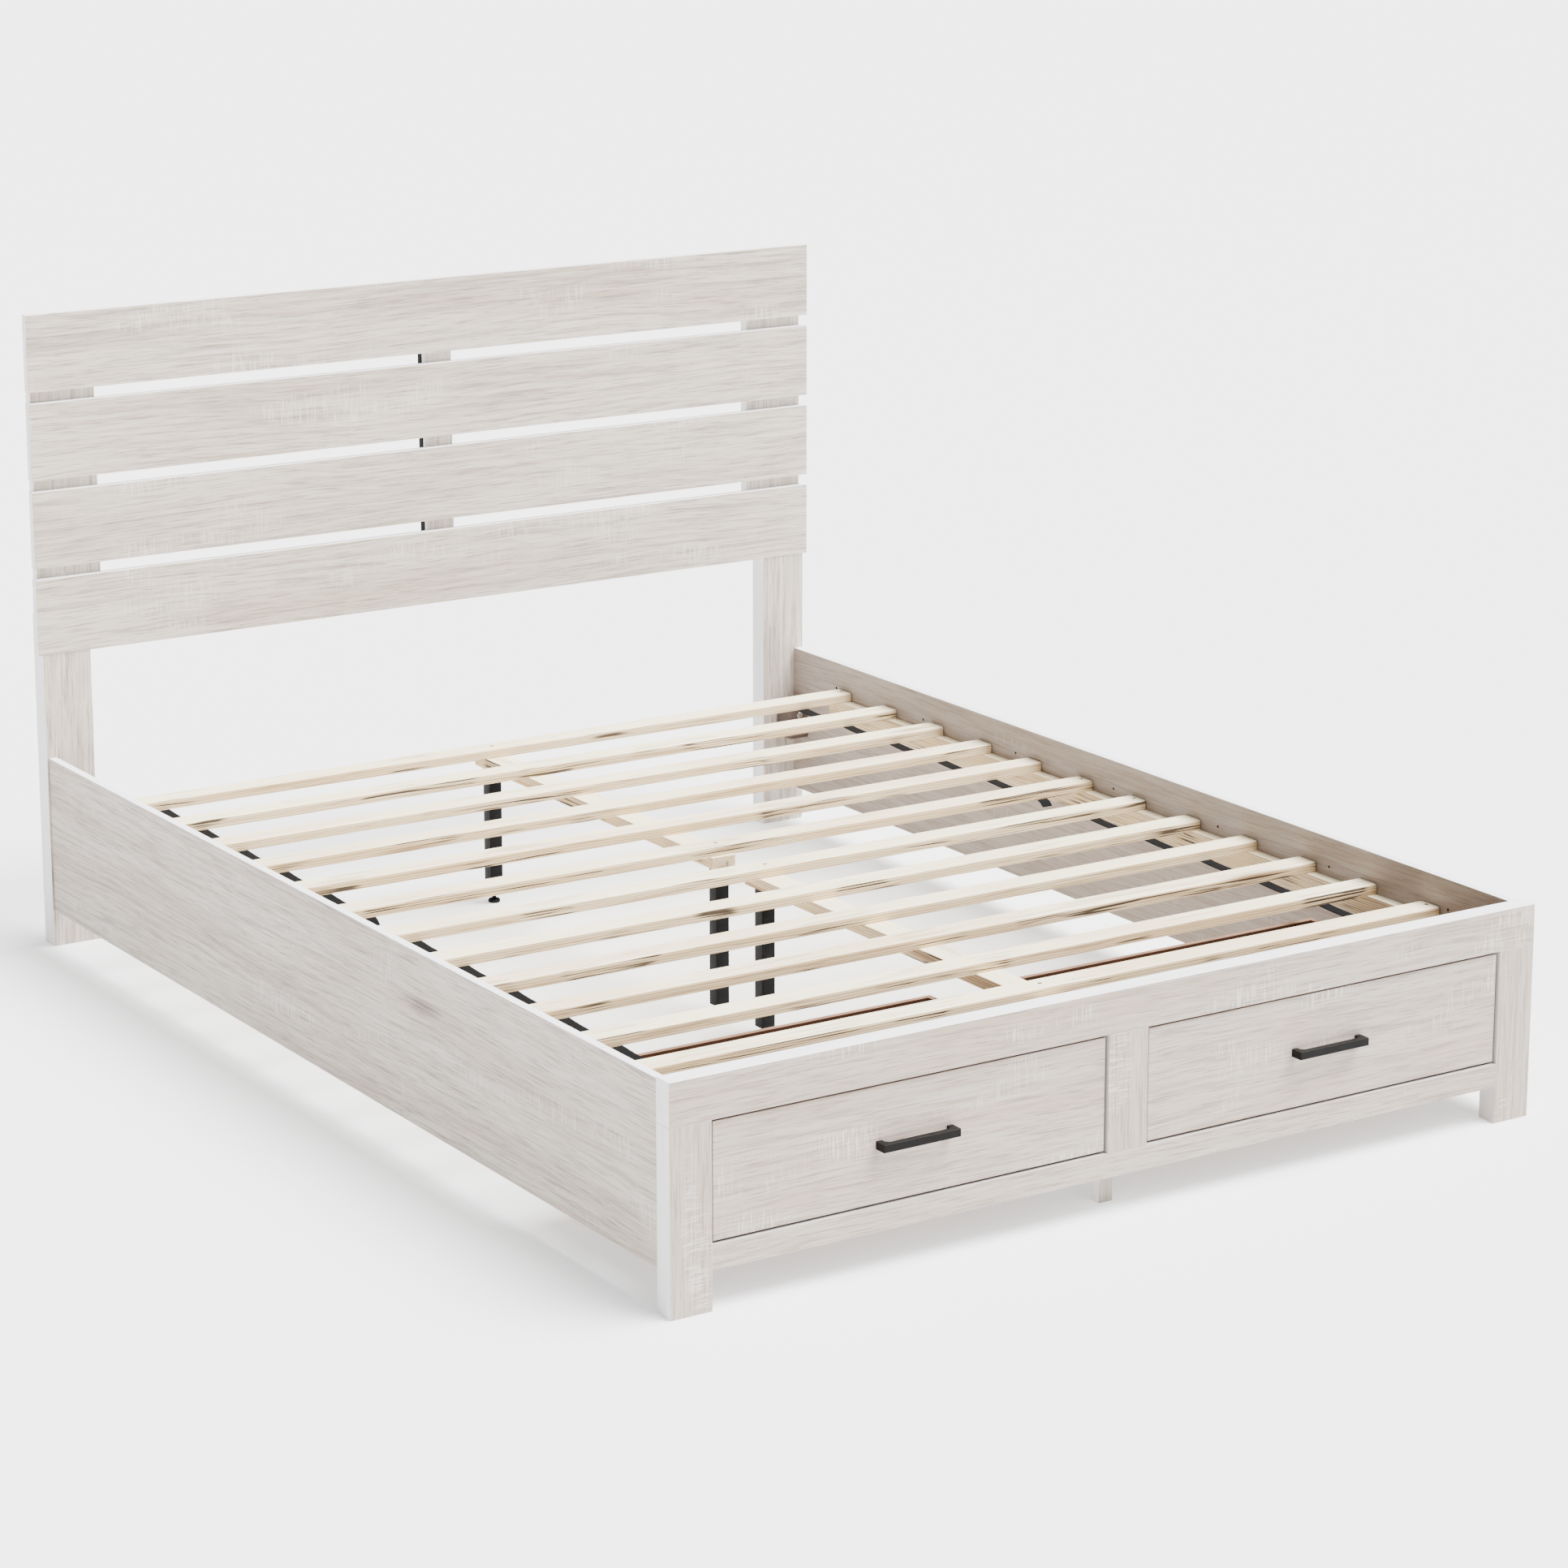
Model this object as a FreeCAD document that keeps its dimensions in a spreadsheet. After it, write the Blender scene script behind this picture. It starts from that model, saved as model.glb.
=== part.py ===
"""Queen-size storage bed frame: slatted headboard, side rails, slat base and a footboard with two drawers.

Frame: X is the width, -Y the foot end with the drawers, +Y the headboard, +Z up. Millimetres.
The origin is the middle of the floor footprint. Every board is a rectangular blank with eased edges.
"""
import FreeCAD
import Part
import os
import Sketcher

doc = FreeCAD.newDocument("storage_bed")
sizes = doc.addObject("Spreadsheet::Sheet", "Sizes")

DRIVING = [
    # mattress and its clearances
    ("mattress_width", 1524), ("mattress_length", 2032), ("mattress_side_gap", 8), ("mattress_end_gap", 9),
    # side rails
    ("rail_thickness", 15), ("rail_height", 278), ("rail_floor_gap", 65),
    ("pilot_diameter", 5), ("pilot_depth", 10), ("pilot_count", 7),
    ("pilot_end_gap", 147), ("pilot_drop", 50),
    # footboard frame
    ("foot_depth", 35), ("foot_overhang", 1.5), ("foot_rise", 3), ("foot_leg_width", 69),
    ("stile_width", 72.5), ("top_rail_height", 66), ("bottom_rail_height", 38), ("bottom_rail_drop", 5),
    # headboard
    ("head_leg_width", 89), ("head_leg_depth", 38.5), ("head_leg_overhang", 3), ("tongue_rise", 70),
    ("plank_overhang", 12), ("plank_height", 134.5), ("plank_thickness", 15), ("plank_gap", 20),
    ("seam_width", 0.8), ("seam_depth", 0.6), ("seam_offset", 14.8),
    ("plank_floor_gap", 528), ("plank_proud", 1.5), ("plank_count", 4),
    ("batten_width", 120), ("batten_thickness", 18), ("batten_inset", 8), ("batten_gap", 1),
    ("centre_batten_width", 57), ("centre_batten_offset", 6),
    ("edge_strip_depth", 12), ("edge_strip_width", 2),
    # slat base
    ("slat_count", 12), ("slat_width", 44.5), ("slat_thickness", 17), ("slat_drop", 49),
    ("slat_first", 165), ("slat_last", 156.4), ("slat_end_gap", 2), ("slat_round", 4),
    ("cleat_width", 20), ("cleat_height", 38), ("cleat_end_gap", 1), ("cleat_lap", 4),
    ("strap_width", 20), ("strap_thickness", 1.5), ("strap_inset", 80),
    ("centre_rail_width", 46), ("centre_rail_thickness", 20), ("centre_rail_lap", 4),
    # support legs and their levelling glides
    ("tube_side", 25), ("tube_wall", 1.5), ("leg_gap", 15), ("leg_setback", 11.125),
    ("plate_length", 70), ("plate_thickness", 2),
    ("glide_diameter", 22), ("glide_height", 7), ("stem_diameter", 8), ("stem_length", 34),
    ("insert_length", 20), ("glide_play", 0.4),
    # corner blocks and bolts
    ("block_panel_gap", 0.5), ("block_depth", 48), ("block_height", 62), ("block_gap", 1),
    ("bolt_diameter", 6), ("bolt_head", 12), ("bolt_head_height", 3.5), ("bolt_bite", 20),
    ("bolt_inset", 16),
    # drawers
    ("front_gap", 3.5), ("front_recess", 4), ("front_thickness", 16),
    ("box_side_gap", 24.625), ("box_headroom", 48), ("box_rise", 10), ("box_back", 423),
    ("box_wall", 10), ("bottom_thickness", 5), ("bottom_rise", 6), ("groove_depth", 5),
    ("pull_length", 132), ("pull_height", 12), ("pull_depth", 10), ("pull_reach", 22), ("pull_corner", 5),
    # drawer runners and panels
    ("panel_thickness", 12), ("panel_back", 380), ("panel_rise", 2), ("runner_reach", 13.375),
    ("runner_thickness", 14), ("guide_height", 22), ("slide_gap", 0.4),
    ("centre_foot_width", 26), ("centre_foot_depth", 20), ("centre_foot_gap", 15),
    ("beam_height", 32), ("beam_depth", 40),
    # finish
    ("edge_round", 1), ("screw_head", 8), ("screw_head_height", 2), ("screw_shank", 4), ("screw_bite", 8),
    ("slat_screw_length", 30), ("pull_screw_length", 22), ("plank_screw_spread", 22.4),
]

DERIVED = [
    ("inner_width", "=mattress_width + 2 * mattress_side_gap"),
    ("inner_length", "=mattress_length + 2 * mattress_end_gap"),
    ("half_inner", "=inner_width / 2"),
    ("rail_top", "=rail_floor_gap + rail_height"),
    ("foot_width", "=inner_width + 2 * rail_thickness + 2 * foot_overhang"),
    ("foot_height", "=rail_top + foot_rise"),
    ("overall_length", "=foot_depth + inner_length + head_leg_depth"),
    ("foot_front", "=-(overall_length + front_pull) / 2 + front_pull"),
    ("front_pull", "=pull_reach - front_recess"),
    ("foot_back", "=foot_front + foot_depth"),
    ("head_front", "=foot_back + inner_length"),
    ("bottom_rail_bottom", "=rail_floor_gap - bottom_rail_drop"),
    ("opening_bottom", "=bottom_rail_bottom + bottom_rail_height"),
    ("opening_top", "=foot_height - top_rail_height"),
    ("opening_outer", "=foot_width / 2 - foot_leg_width"),
    ("opening_inner", "=stile_width / 2"),
    ("opening_width", "=opening_outer - opening_inner"),
    ("opening_height", "=opening_top - opening_bottom"),
    ("box_width", "=opening_width - 2 * box_side_gap"),
    ("box_floor_gap", "=opening_bottom + box_rise"),
    ("box_height", "=opening_top - box_headroom - box_floor_gap"),
    ("drawer_centre", "=(opening_outer + opening_inner) / 2"),
    ("leg_centre", "=inner_width / 2 + rail_thickness + head_leg_overhang - head_leg_width / 2"),
    ("plank_width", "=inner_width + 2 * (rail_thickness + plank_overhang)"),
    ("plank_front", "=head_front - plank_proud"),
    ("plank_back", "=plank_front + plank_thickness"),
    ("planks_top", "=plank_floor_gap + plank_count * plank_height + (plank_count - 1) * plank_gap"),
    ("leg_back", "=head_front + head_leg_depth"),
    ("batten_centre", "=inner_width / 2 + rail_thickness + head_leg_overhang - batten_width / 2"),
    ("slat_top", "=rail_top - slat_drop"),
    ("slat_bottom", "=slat_top - slat_thickness"),
    ("slat_length", "=inner_width - 2 * slat_end_gap"),
    ("slat_start", "=foot_back + slat_first + slat_width / 2"),
    ("slat_pitch", "=(inner_length - slat_first - slat_last - slat_width) / (slat_count - 1)"),
    ("strap_centre", "=half_inner - cleat_width - strap_inset - strap_width / 2"),
    ("strap_bottom", "=slat_bottom - strap_thickness"),
    ("centre_rail_bottom", "=slat_bottom - centre_rail_thickness"),
    ("block_width", "=half_inner - opening_outer - panel_thickness - block_panel_gap"),
    ("block_top", "=slat_bottom - cleat_height - block_gap"),
    ("tube_top", "=centre_rail_bottom - plate_thickness"),
    ("tube_height", "=tube_top - leg_gap"),
    ("box_front", "=foot_front + front_recess + front_thickness"),
    ("box_end", "=foot_front + box_back"),
    ("box_length", "=box_end - box_front"),
    ("panel_top", "=box_floor_gap + box_height + panel_rise"),
    ("runner_top", "=box_floor_gap - slide_gap"),
    ("runner_base", "=box_side_gap + runner_reach"),
    ("guide_width", "=(opening_width - box_width) / 2 - slide_gap"),
    ("runner_front", "=box_front + slide_gap"),
    ("runner_length", "=foot_front + panel_back - runner_front"),
]

for row, (alias, content) in enumerate(DRIVING + DERIVED, 1):
    sizes.set(f"A{row}", alias)
    sizes.set(f"B{row}", str(content))
    sizes.setAlias(f"B{row}", alias)
doc.recompute()


def value(alias):
    """The number in one cell of the sheet."""
    return float(sizes.get(alias))


def bind(thing, target, text):
    """Binds one property to the sheet. A name in the text that is an alias is looked up in the sheet."""
    words = []
    word = ""
    for letter in text + " ":
        if letter.isalnum() or letter == "_":
            word += letter
            continue
        known = word in ALIASES
        words.append(f"Sizes.{word}" if known else word)
        words.append(letter)
        word = ""
    thing.setExpression(target, "".join(words).strip())


ALIASES = {alias for alias, _ in DRIVING + DERIVED}
PARTS = []


def place(thing, x, y, z):
    """Binds an object's place to the sheet, one expression for each axis."""
    for axis, text in zip("xyz", (x, y, z)):
        bind(thing, f"Placement.Base.{axis}", text)


def origin_plane(body, role):
    """One of the body's own origin planes."""
    return next(plane for plane in body.Origin.OriginFeatures if plane.Role == role)


def centred_rectangle(body, name, role, wide, tall):
    """A sketch with one rectangle round the origin, its two sides bound to the sheet."""
    sketch = body.newObject("Sketcher::SketchObject", name)
    sketch.AttachmentSupport = (origin_plane(body, role), [""])
    sketch.MapMode = "FlatFace"
    corners = [(-10, -10), (10, -10), (10, 10), (-10, 10)]
    for here, there in zip(corners, corners[1:] + corners[:1]):
        start = FreeCAD.Vector(here[0], here[1], 0)
        end = FreeCAD.Vector(there[0], there[1], 0)
        sketch.addGeometry(Part.LineSegment(start, end), False)
    for line in range(4):
        sketch.addConstraint(Sketcher.Constraint("Coincident", line, 2, (line + 1) % 4, 1))
    for line, kind in enumerate(("Horizontal", "Vertical", "Horizontal", "Vertical")):
        sketch.addConstraint(Sketcher.Constraint(kind, line))
    sketch.addConstraint(Sketcher.Constraint("Symmetric", 0, 1, 1, 2, -1, 1))
    for kind, line, label, text in (("DistanceX", 0, "wide", wide), ("DistanceY", 1, "tall", tall)):
        index = sketch.addConstraint(Sketcher.Constraint(kind, line, 1, line, 2, 20.0))
        sketch.renameConstraint(index, label)
        bind(sketch, f"Constraints.{label}", text)
    return sketch


def eased(body, pad, names, radius):
    """Rounds the named edges of a pad by a radius from the sheet."""
    fillet = body.newObject("PartDesign::Fillet", f"{body.Name}_eased")
    fillet.Base = (pad, names)
    bind(fillet, "Radius", radius)
    body.Tip = fillet
    return fillet


def edges_where(shape, keep):
    """Names of the edges whose centre passes a test."""
    return [f"Edge{i + 1}" for i, edge in enumerate(shape.Edges) if keep(edge)]


def board(label, wide, deep, tall, x, y, z, radius="edge_round", keep=None, holes=()):
    """A rectangular blank, centred in X and Y on its place and standing on it, its edges eased."""
    body = doc.addObject("PartDesign::Body", f"{label}_blank")
    sketch = centred_rectangle(body, f"{label}_outline", "XY_Plane", wide, deep)
    pad = body.newObject("PartDesign::Pad", f"{label}_pad")
    pad.Profile = sketch
    bind(pad, "Length", tall)
    doc.recompute()
    if radius:
        names = edges_where(pad.Shape, keep or (lambda edge: True))
        eased(body, pad, names, radius)
    place(body, x, y, z)
    if holes:
        return finished(drilled(label, body, holes))
    body.Label = label
    return finished(body)


def box(name, wide, deep, tall, x, y, z):
    """A Part box centred in X and Y on its place, for the tools of a boolean."""
    solid = doc.addObject("Part::Box", name)
    bind(solid, "Length", wide)
    bind(solid, "Width", deep)
    bind(solid, "Height", tall)
    place(solid, f"({x}) - ({wide}) / 2", f"({y}) - ({deep}) / 2", z)
    return solid


def rod(name, diameter, length, x, y, z, axis=(0, 0, 1)):
    """A Part cylinder that starts at its place and runs along an axis."""
    solid = doc.addObject("Part::Cylinder", name)
    bind(solid, "Radius", f"({diameter}) / 2")
    bind(solid, "Height", length)
    solid.Placement.Rotation = FreeCAD.Rotation(FreeCAD.Vector(0, 0, 1), FreeCAD.Vector(*axis))
    place(solid, x, y, z)
    return solid


def fused(label, solids):
    """Solids joined in one piece."""
    joined = doc.addObject("Part::MultiFuse", label)
    joined.Label = label
    joined.Shapes = solids
    joined.Refine = True
    return joined


def cut(label, base, tool):
    """A base with a tool taken out of it."""
    result = doc.addObject("Part::Cut", label)
    result.Label = label
    result.Base = base
    result.Tool = tool
    return result


def grouped(label, solids):
    """Identical fasteners kept as separate solids in one node."""
    group = doc.addObject("Part::Compound", label)
    group.Label = label
    group.Links = solids
    PARTS.append(group)
    return group


def finished(piece):
    """Registers a boolean result as a sub-part."""
    PARTS.append(piece)
    return piece


def drilled(label, base, fasteners):
    """A piece with a hole for each of its fasteners, exactly the fastener's size."""
    tool = fasteners[0] if len(fasteners) == 1 else doc.addObject("Part::Compound", f"{label}_holes")
    if len(fasteners) > 1:
        tool.Links = fasteners
    return cut(label, base, tool)


def screw(name, x, y, z, axis, length):
    """A countersunk screw: its head's flat is at the place and its shank runs along the axis."""
    head = doc.addObject("Part::Cone", f"{name}_head")
    bind(head, "Radius1", "screw_head / 2")
    bind(head, "Radius2", "screw_shank / 2")
    bind(head, "Height", "screw_head_height")
    head.Placement.Rotation = FreeCAD.Rotation(FreeCAD.Vector(0, 0, 1), FreeCAD.Vector(*axis))
    place(head, x, y, z)
    shank = rod(f"{name}_shank", "screw_shank", length, x, y, z, axis)
    return fused(name, [head, shank])


SIDES = (("left", -1), ("right", 1))
LAST_SLAT = int(value("slat_count")) - 1
ROLL = int(value("slat_count")) // 2
SCREWED_SLATS = [0, ROLL - 1, ROLL, LAST_SLAT]


def is_upright(edge):
    """True for an edge along Z."""
    return edge.BoundBox.ZLength > 0.9 * edge.Length


# ---------------------------------------------------------------- fasteners
def slat_y(index):
    """The centre of one slat along Y. Slat 0 is next to the headboard."""
    return f"(slat_start + {LAST_SLAT - index} * slat_pitch)"


def plank_z(number):
    """The lower edge of one headboard plank. Plank 0 is the top one."""
    return f"(planks_top - {number + 1} * plank_height - {number} * plank_gap)"


def make_slat_screws():
    """Three countersunk screws in the first and last slat of each roll, by the place they go into."""
    places = {"left": [], "centre": [], "right": []}
    end = "half_inner - cleat_width / 2"
    across = {"left": f"-({end})", "centre": "0", "right": end}
    for index in SCREWED_SLATS:
        for side, x in across.items():
            places[side].append(screw(f"slat_screw_{index}_{side}", x, slat_y(index), "slat_top",
                                      (0, 0, -1), "slat_screw_length"))
    return places


def make_plank_screws():
    """Two screws from the back through each upright into each plank, by upright."""
    lowest = int(value("plank_count")) - 1
    uprights = {"left": "-batten_centre", "centre": "centre_batten_offset", "right": "batten_centre"}
    screws = {}
    for upright, x in uprights.items():
        for number in range(lowest + 1):
            on_leg = number == lowest and upright != "centre"
            middle = {"left": "-leg_centre", "right": "leg_centre"}[upright] if on_leg else x
            back = "leg_back" if on_leg else "plank_back + batten_thickness"
            rise = "tongue_rise" if on_leg else "plank_height"
            level = f"{plank_z(number)} + {rise} / 2"
            for away in (-1, 1):
                name = f"plank_screw_{upright}_{number}_{'low' if away < 0 else 'high'}"
                height = f"{level} + {away} * plank_screw_spread"
                made = screw(name, middle, back, height, (0, -1, 0), f"{back} - plank_back + screw_bite")
                screws.setdefault((upright, number, on_leg), []).append(made)
    return screws


def make_corner_bolts():
    """Two bolts through each corner block into the leg at that end, by corner."""
    bolts = {}
    for end, outward, wall in (("head", 1, "head_front"), ("foot", -1, "foot_back")):
        for side, sign in SIDES:
            inner = f"{wall} - {outward} * block_depth"
            x = f"{sign} * (half_inner - block_width / 2)"
            levels = {"high": "block_top - bolt_inset", "low": "block_top - block_height + bolt_inset"}
            for level, height in levels.items():
                name = f"corner_bolt_{end}_{side}_{level}"
                shank = rod(f"{name}_shank", "bolt_diameter", "block_depth + bolt_bite", x, inner, height,
                            (0, outward, 0))
                head = rod(f"{name}_head", "bolt_head", "bolt_head_height", x, inner, height,
                           (0, -outward, 0))
                bolts.setdefault((end, side), []).append(fused(name, [shank, head]))
    return bolts


# ---------------------------------------------------------------- headboard
def make_headboard(screws, bolts):
    """Planks, battens, and legs whose tongue runs up behind the lowest plank."""
    for number in range(int(value("plank_count"))):
        own = [item for (_, plank, _), made in screws.items() if plank == number for item in made]
        board(f"headboard_plank_{number + 1}", "plank_width", "plank_thickness", "plank_height",
              "0", "plank_front + plank_thickness / 2", plank_z(number), holes=own)
    batten_bottom = "plank_floor_gap + tongue_rise + batten_gap"
    batten_height = f"planks_top - batten_inset - ({batten_bottom})"
    for side, sign in SIDES:
        own = [item for (name, _, on_leg), made in screws.items()
               if name == side and not on_leg for item in made]
        board(f"headboard_batten_{side}", "batten_width", "batten_thickness", batten_height,
              f"{sign} * batten_centre", "plank_back + batten_thickness / 2", batten_bottom, holes=own)
        post = box(f"head_post_{side}", "head_leg_width", "head_leg_depth", "plank_floor_gap",
                   f"{sign} * leg_centre", "head_front + head_leg_depth / 2", "0")
        tongue = box(f"head_tongue_{side}", "head_leg_width", "leg_back - plank_back",
                     "plank_floor_gap + tongue_rise", f"{sign} * leg_centre",
                     "(leg_back + plank_back) / 2", "0")
        seam = box(f"head_seam_{side}", "seam_width", "2 * seam_depth", "plank_floor_gap",
                   f"{sign} * (leg_centre - seam_offset)", "head_front", "0")
        own = [item for (name, _, on_leg), made in screws.items()
               if name == side and on_leg for item in made]
        blank = fused(f"head_leg_blank_{side}", [post, tongue])
        finished(drilled(f"headboard_leg_{side}", blank, [seam] + own + bolts["head", side]))
    centre_bottom = "plank_floor_gap + batten_inset"
    centre_height = f"planks_top - batten_inset - ({centre_bottom})"
    own = [item for (name, _, _), made in screws.items() if name == "centre" for item in made]
    board("headboard_batten_centre", "centre_batten_width", "batten_thickness", centre_height,
          "centre_batten_offset", "plank_back + batten_thickness / 2", centre_bottom, holes=own)
    strip_x = "centre_batten_offset - (centre_batten_width + edge_strip_width) / 2"
    board("headboard_batten_strip", "edge_strip_width", "edge_strip_depth", centre_height,
          strip_x, "plank_back + batten_thickness - edge_strip_depth / 2", centre_bottom, radius=None)
    grouped("plank_screws", [item for made in screws.values() for item in made])


# ---------------------------------------------------------------- side rails
def make_rails(slat_screws, bolts):
    """Side rails, slat cleats, corner blocks and the bolts through the blocks into the end frames."""
    last = int(value("pilot_count")) - 1
    cleat_front = "(foot_back + cleat_end_gap)"
    cleat_back = f"({slat_y(0)} + slat_width / 2 + cleat_lap)"
    for side, sign in SIDES:
        pilots = [rod(f"pilot_{side}_{number}", "pilot_diameter", "pilot_depth", f"{sign} * half_inner",
                      f"foot_back + pilot_end_gap + {number} * (inner_length - pilot_end_gap * 2) / {last}",
                      "rail_top - pilot_drop", (sign, 0, 0)) for number in range(last + 1)]
        board(f"side_rail_{side}", "rail_thickness", "inner_length", "rail_height",
              f"{sign} * (half_inner + rail_thickness / 2)", "(foot_back + head_front) / 2",
              "rail_floor_gap", holes=pilots)
        board(f"slat_cleat_{side}", "cleat_width", f"{cleat_back} - {cleat_front}", "cleat_height",
              f"{sign} * (half_inner - cleat_width / 2)", f"({cleat_back} + {cleat_front}) / 2",
              "slat_bottom - cleat_height", holes=slat_screws[side])
    blocks = []
    for end, centre in (("head", "head_front - block_depth / 2"), ("foot", "foot_back + block_depth / 2")):
        for side, sign in SIDES:
            name = f"corner_block_{end}_{side}"
            blank = box(f"{name}_blank", "block_width", "block_depth", "block_height",
                        f"{sign} * (half_inner - block_width / 2)", centre, "block_top - block_height")
            blocks.append(drilled(name, blank, bolts[end, side]))
    grouped("corner_blocks", blocks)
    grouped("corner_bolts", [item for made in bolts.values() for item in made])


# ---------------------------------------------------------------- slat base
def make_slats(slat_screws):
    """Twelve slats in two rolls, each roll joined by two webbing straps on its underside."""
    top_edges = (lambda edge: edge.BoundBox.ZMin > value("slat_thickness") - 0.1
                 and edge.BoundBox.XLength > value("slat_width") * 2)
    for index in range(LAST_SLAT + 1):
        screwed = index in SCREWED_SLATS
        own = [made[SCREWED_SLATS.index(index)] for made in slat_screws.values()] if screwed else ()
        board(f"slat_{index + 1:02d}", "slat_length", "slat_width", "slat_thickness",
              "0", slat_y(index), "slat_bottom", radius="slat_round", keep=top_edges, holes=own)
    for roll, first in (("head", 0), ("foot", ROLL)):
        last = first + ROLL - 1
        straps = [box(f"strap_{roll}_{side}", "strap_width", f"{ROLL - 1} * slat_pitch + slat_width",
                      "strap_thickness", f"{sign} * strap_centre", f"({slat_y(first)} + {slat_y(last)}) / 2",
                      "strap_bottom") for side, sign in SIDES]
        grouped(f"slat_straps_{roll}", straps)
    grouped("slat_screws", [item for made in slat_screws.values() for item in made])


def make_centre_support(slat_screws):
    """Two centre rails and three support legs with their inserts and levelling glides."""
    head_end = f"{slat_y(0)} + slat_width / 2"
    split_back = f"{slat_y(ROLL - 1)} - slat_width / 2 - centre_rail_lap"
    split_front = f"{slat_y(ROLL)} + slat_width / 2 + centre_rail_lap"
    spans = (("head", head_end, split_back, slat_screws["centre"][:2]),
             ("foot", split_front, "foot_back + cleat_end_gap", slat_screws["centre"][2:]))
    for name, back, front, own in spans:
        board(f"centre_rail_{name}", "centre_rail_width", f"({back}) - ({front})", "centre_rail_thickness",
              "0", f"(({back}) + ({front})) / 2", "centre_rail_bottom", holes=own)
    leg_places = (slat_y(0), f"({slat_y(ROLL - 1)} - leg_setback)", slat_y(ROLL))
    inside = "tube_side - 2 * tube_wall"
    legs = []
    inserts = []
    for number, y in enumerate(leg_places, 1):
        outer = box(f"tube_outer_{number}", "tube_side", "tube_side", "tube_height", "0", y, "leg_gap")
        bore = box(f"tube_bore_{number}", inside, inside, "tube_height", "0", y, "leg_gap")
        tube = cut(f"tube_{number}", outer, bore)
        plate = box(f"tube_plate_{number}", "tube_side", "plate_length", "plate_thickness",
                    "0", y, "tube_top")
        legs.append(fused(f"tube_with_plate_{number}", [tube, plate]))
        plug = box(f"insert_blank_{number}", inside, inside, "insert_length", "0", y, "leg_gap")
        thread = rod(f"insert_bore_{number}", "stem_diameter + 2 * glide_play", "insert_length",
                     "0", y, "leg_gap")
        inserts.append(cut(f"insert_{number}", plug, thread))
        foot = rod(f"glide_foot_{number}", "glide_diameter", "glide_height", "0", y, "0")
        stem = rod(f"glide_stem_{number}", "stem_diameter", "stem_length", "0", y, "glide_height")
        finished(fused(f"levelling_glide_{number}", [foot, stem]))
    grouped("support_legs", legs)
    grouped("leg_inserts", inserts)


# ---------------------------------------------------------------- footboard
def make_footboard(bolts):
    """Legs, stile, rails, and the centre foot with the cross beam that it carries."""
    middle = "foot_front + foot_depth / 2"
    board("footboard_top_rail", "foot_width", "foot_depth", "top_rail_height", "0", middle, "opening_top")
    board("footboard_bottom_rail", "2 * opening_outer", "foot_depth", "bottom_rail_height",
          "0", middle, "bottom_rail_bottom")
    board("footboard_stile", "stile_width", "foot_depth", "opening_height", "0", middle, "opening_bottom")
    for side, sign in SIDES:
        board(f"footboard_leg_{side}", "foot_leg_width", "foot_depth", "opening_top",
              f"{sign} * (foot_width - foot_leg_width) / 2", middle, "0", holes=bolts["foot", side])
    board("footboard_centre_foot", "centre_foot_width", "centre_foot_depth",
          "centre_rail_bottom - beam_height", "0",
          "foot_back + centre_foot_gap + centre_foot_depth / 2", "0")
    board("drawer_cross_beam", "2 * (opening_inner - panel_thickness)", "beam_depth", "beam_height",
          "0", "foot_back + beam_depth / 2", "centre_rail_bottom - beam_height", radius=None)


def make_runners():
    """Panels beside each drawer and the pine runners that carry it and stop its front."""
    panels = []
    runners = []
    length = "(foot_front + panel_back - foot_back)"
    middle = "(foot_back + foot_front + panel_back) / 2"
    for side, sign in SIDES:
        for edge, face, away in (("inner", "opening_inner", -1), ("outer", "opening_outer", 1)):
            name = f"{side}_{edge}"
            panels.append(box(f"panel_{name}", "panel_thickness", length, "panel_top - bottom_rail_bottom",
                              f"{sign} * ({face} + {away} * panel_thickness / 2)", middle,
                              "bottom_rail_bottom"))
            base = box(f"runner_base_{name}", "runner_base", length, "runner_thickness",
                       f"{sign} * ({face} - {away} * runner_base / 2)", middle,
                       "runner_top - runner_thickness")
            guide = box(f"runner_guide_{name}", "guide_width", "runner_length", "guide_height",
                        f"{sign} * ({face} - {away} * guide_width / 2)", "runner_front + runner_length / 2",
                        "runner_top")
            runners.append(fused(f"runner_{name}", [base, guide]))
    grouped("drawer_panels", panels)
    grouped("drawer_runners", runners)


# ---------------------------------------------------------------- drawers
def make_pull(label, x, y, z, holes):
    """A bar pull: a rectangular bar on two posts, its inner corners filled and its edges eased."""
    body = doc.addObject("PartDesign::Body", f"{label}_blank")
    pad = body.newObject("PartDesign::Pad", f"{label}_pad")
    pad.Profile = centred_rectangle(body, f"{label}_outline", "XY_Plane", "pull_length", "pull_reach")
    bind(pad, "Length", "pull_height")
    grip = centred_rectangle(body, f"{label}_grip", "XY_Plane", "pull_length - 2 * pull_depth", "pull_reach")
    bind(grip, "AttachmentOffset.Base.y", "pull_depth")
    doc.recompute()
    pocket = body.newObject("PartDesign::Pocket", f"{label}_pocket")
    pocket.Profile = grip
    pocket.Type = "ThroughAll"
    pocket.Reversed = True
    doc.recompute()
    if pocket.Shape.Volume > 0.9 * pad.Shape.Volume:
        raise RuntimeError("the grip of the pull was not cut")
    inner = edges_where(pocket.Shape, lambda edge: is_upright(edge)
                        and abs(edge.BoundBox.XMin) < value("pull_length") / 2 - 1
                        and edge.BoundBox.YMin < value("pull_reach") / 2 - 1)
    corners = body.newObject("PartDesign::Chamfer", f"{label}_corners")
    corners.Base = (pocket, inner)
    bind(corners, "Size", "pull_corner")
    doc.recompute()
    front = edges_where(corners.Shape, lambda edge: edge.BoundBox.YMax < 0.1 - value("pull_reach") / 2)
    eased(body, corners, front, "edge_round")
    place(body, x, y, z)
    return finished(drilled(label, body, holes))


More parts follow.
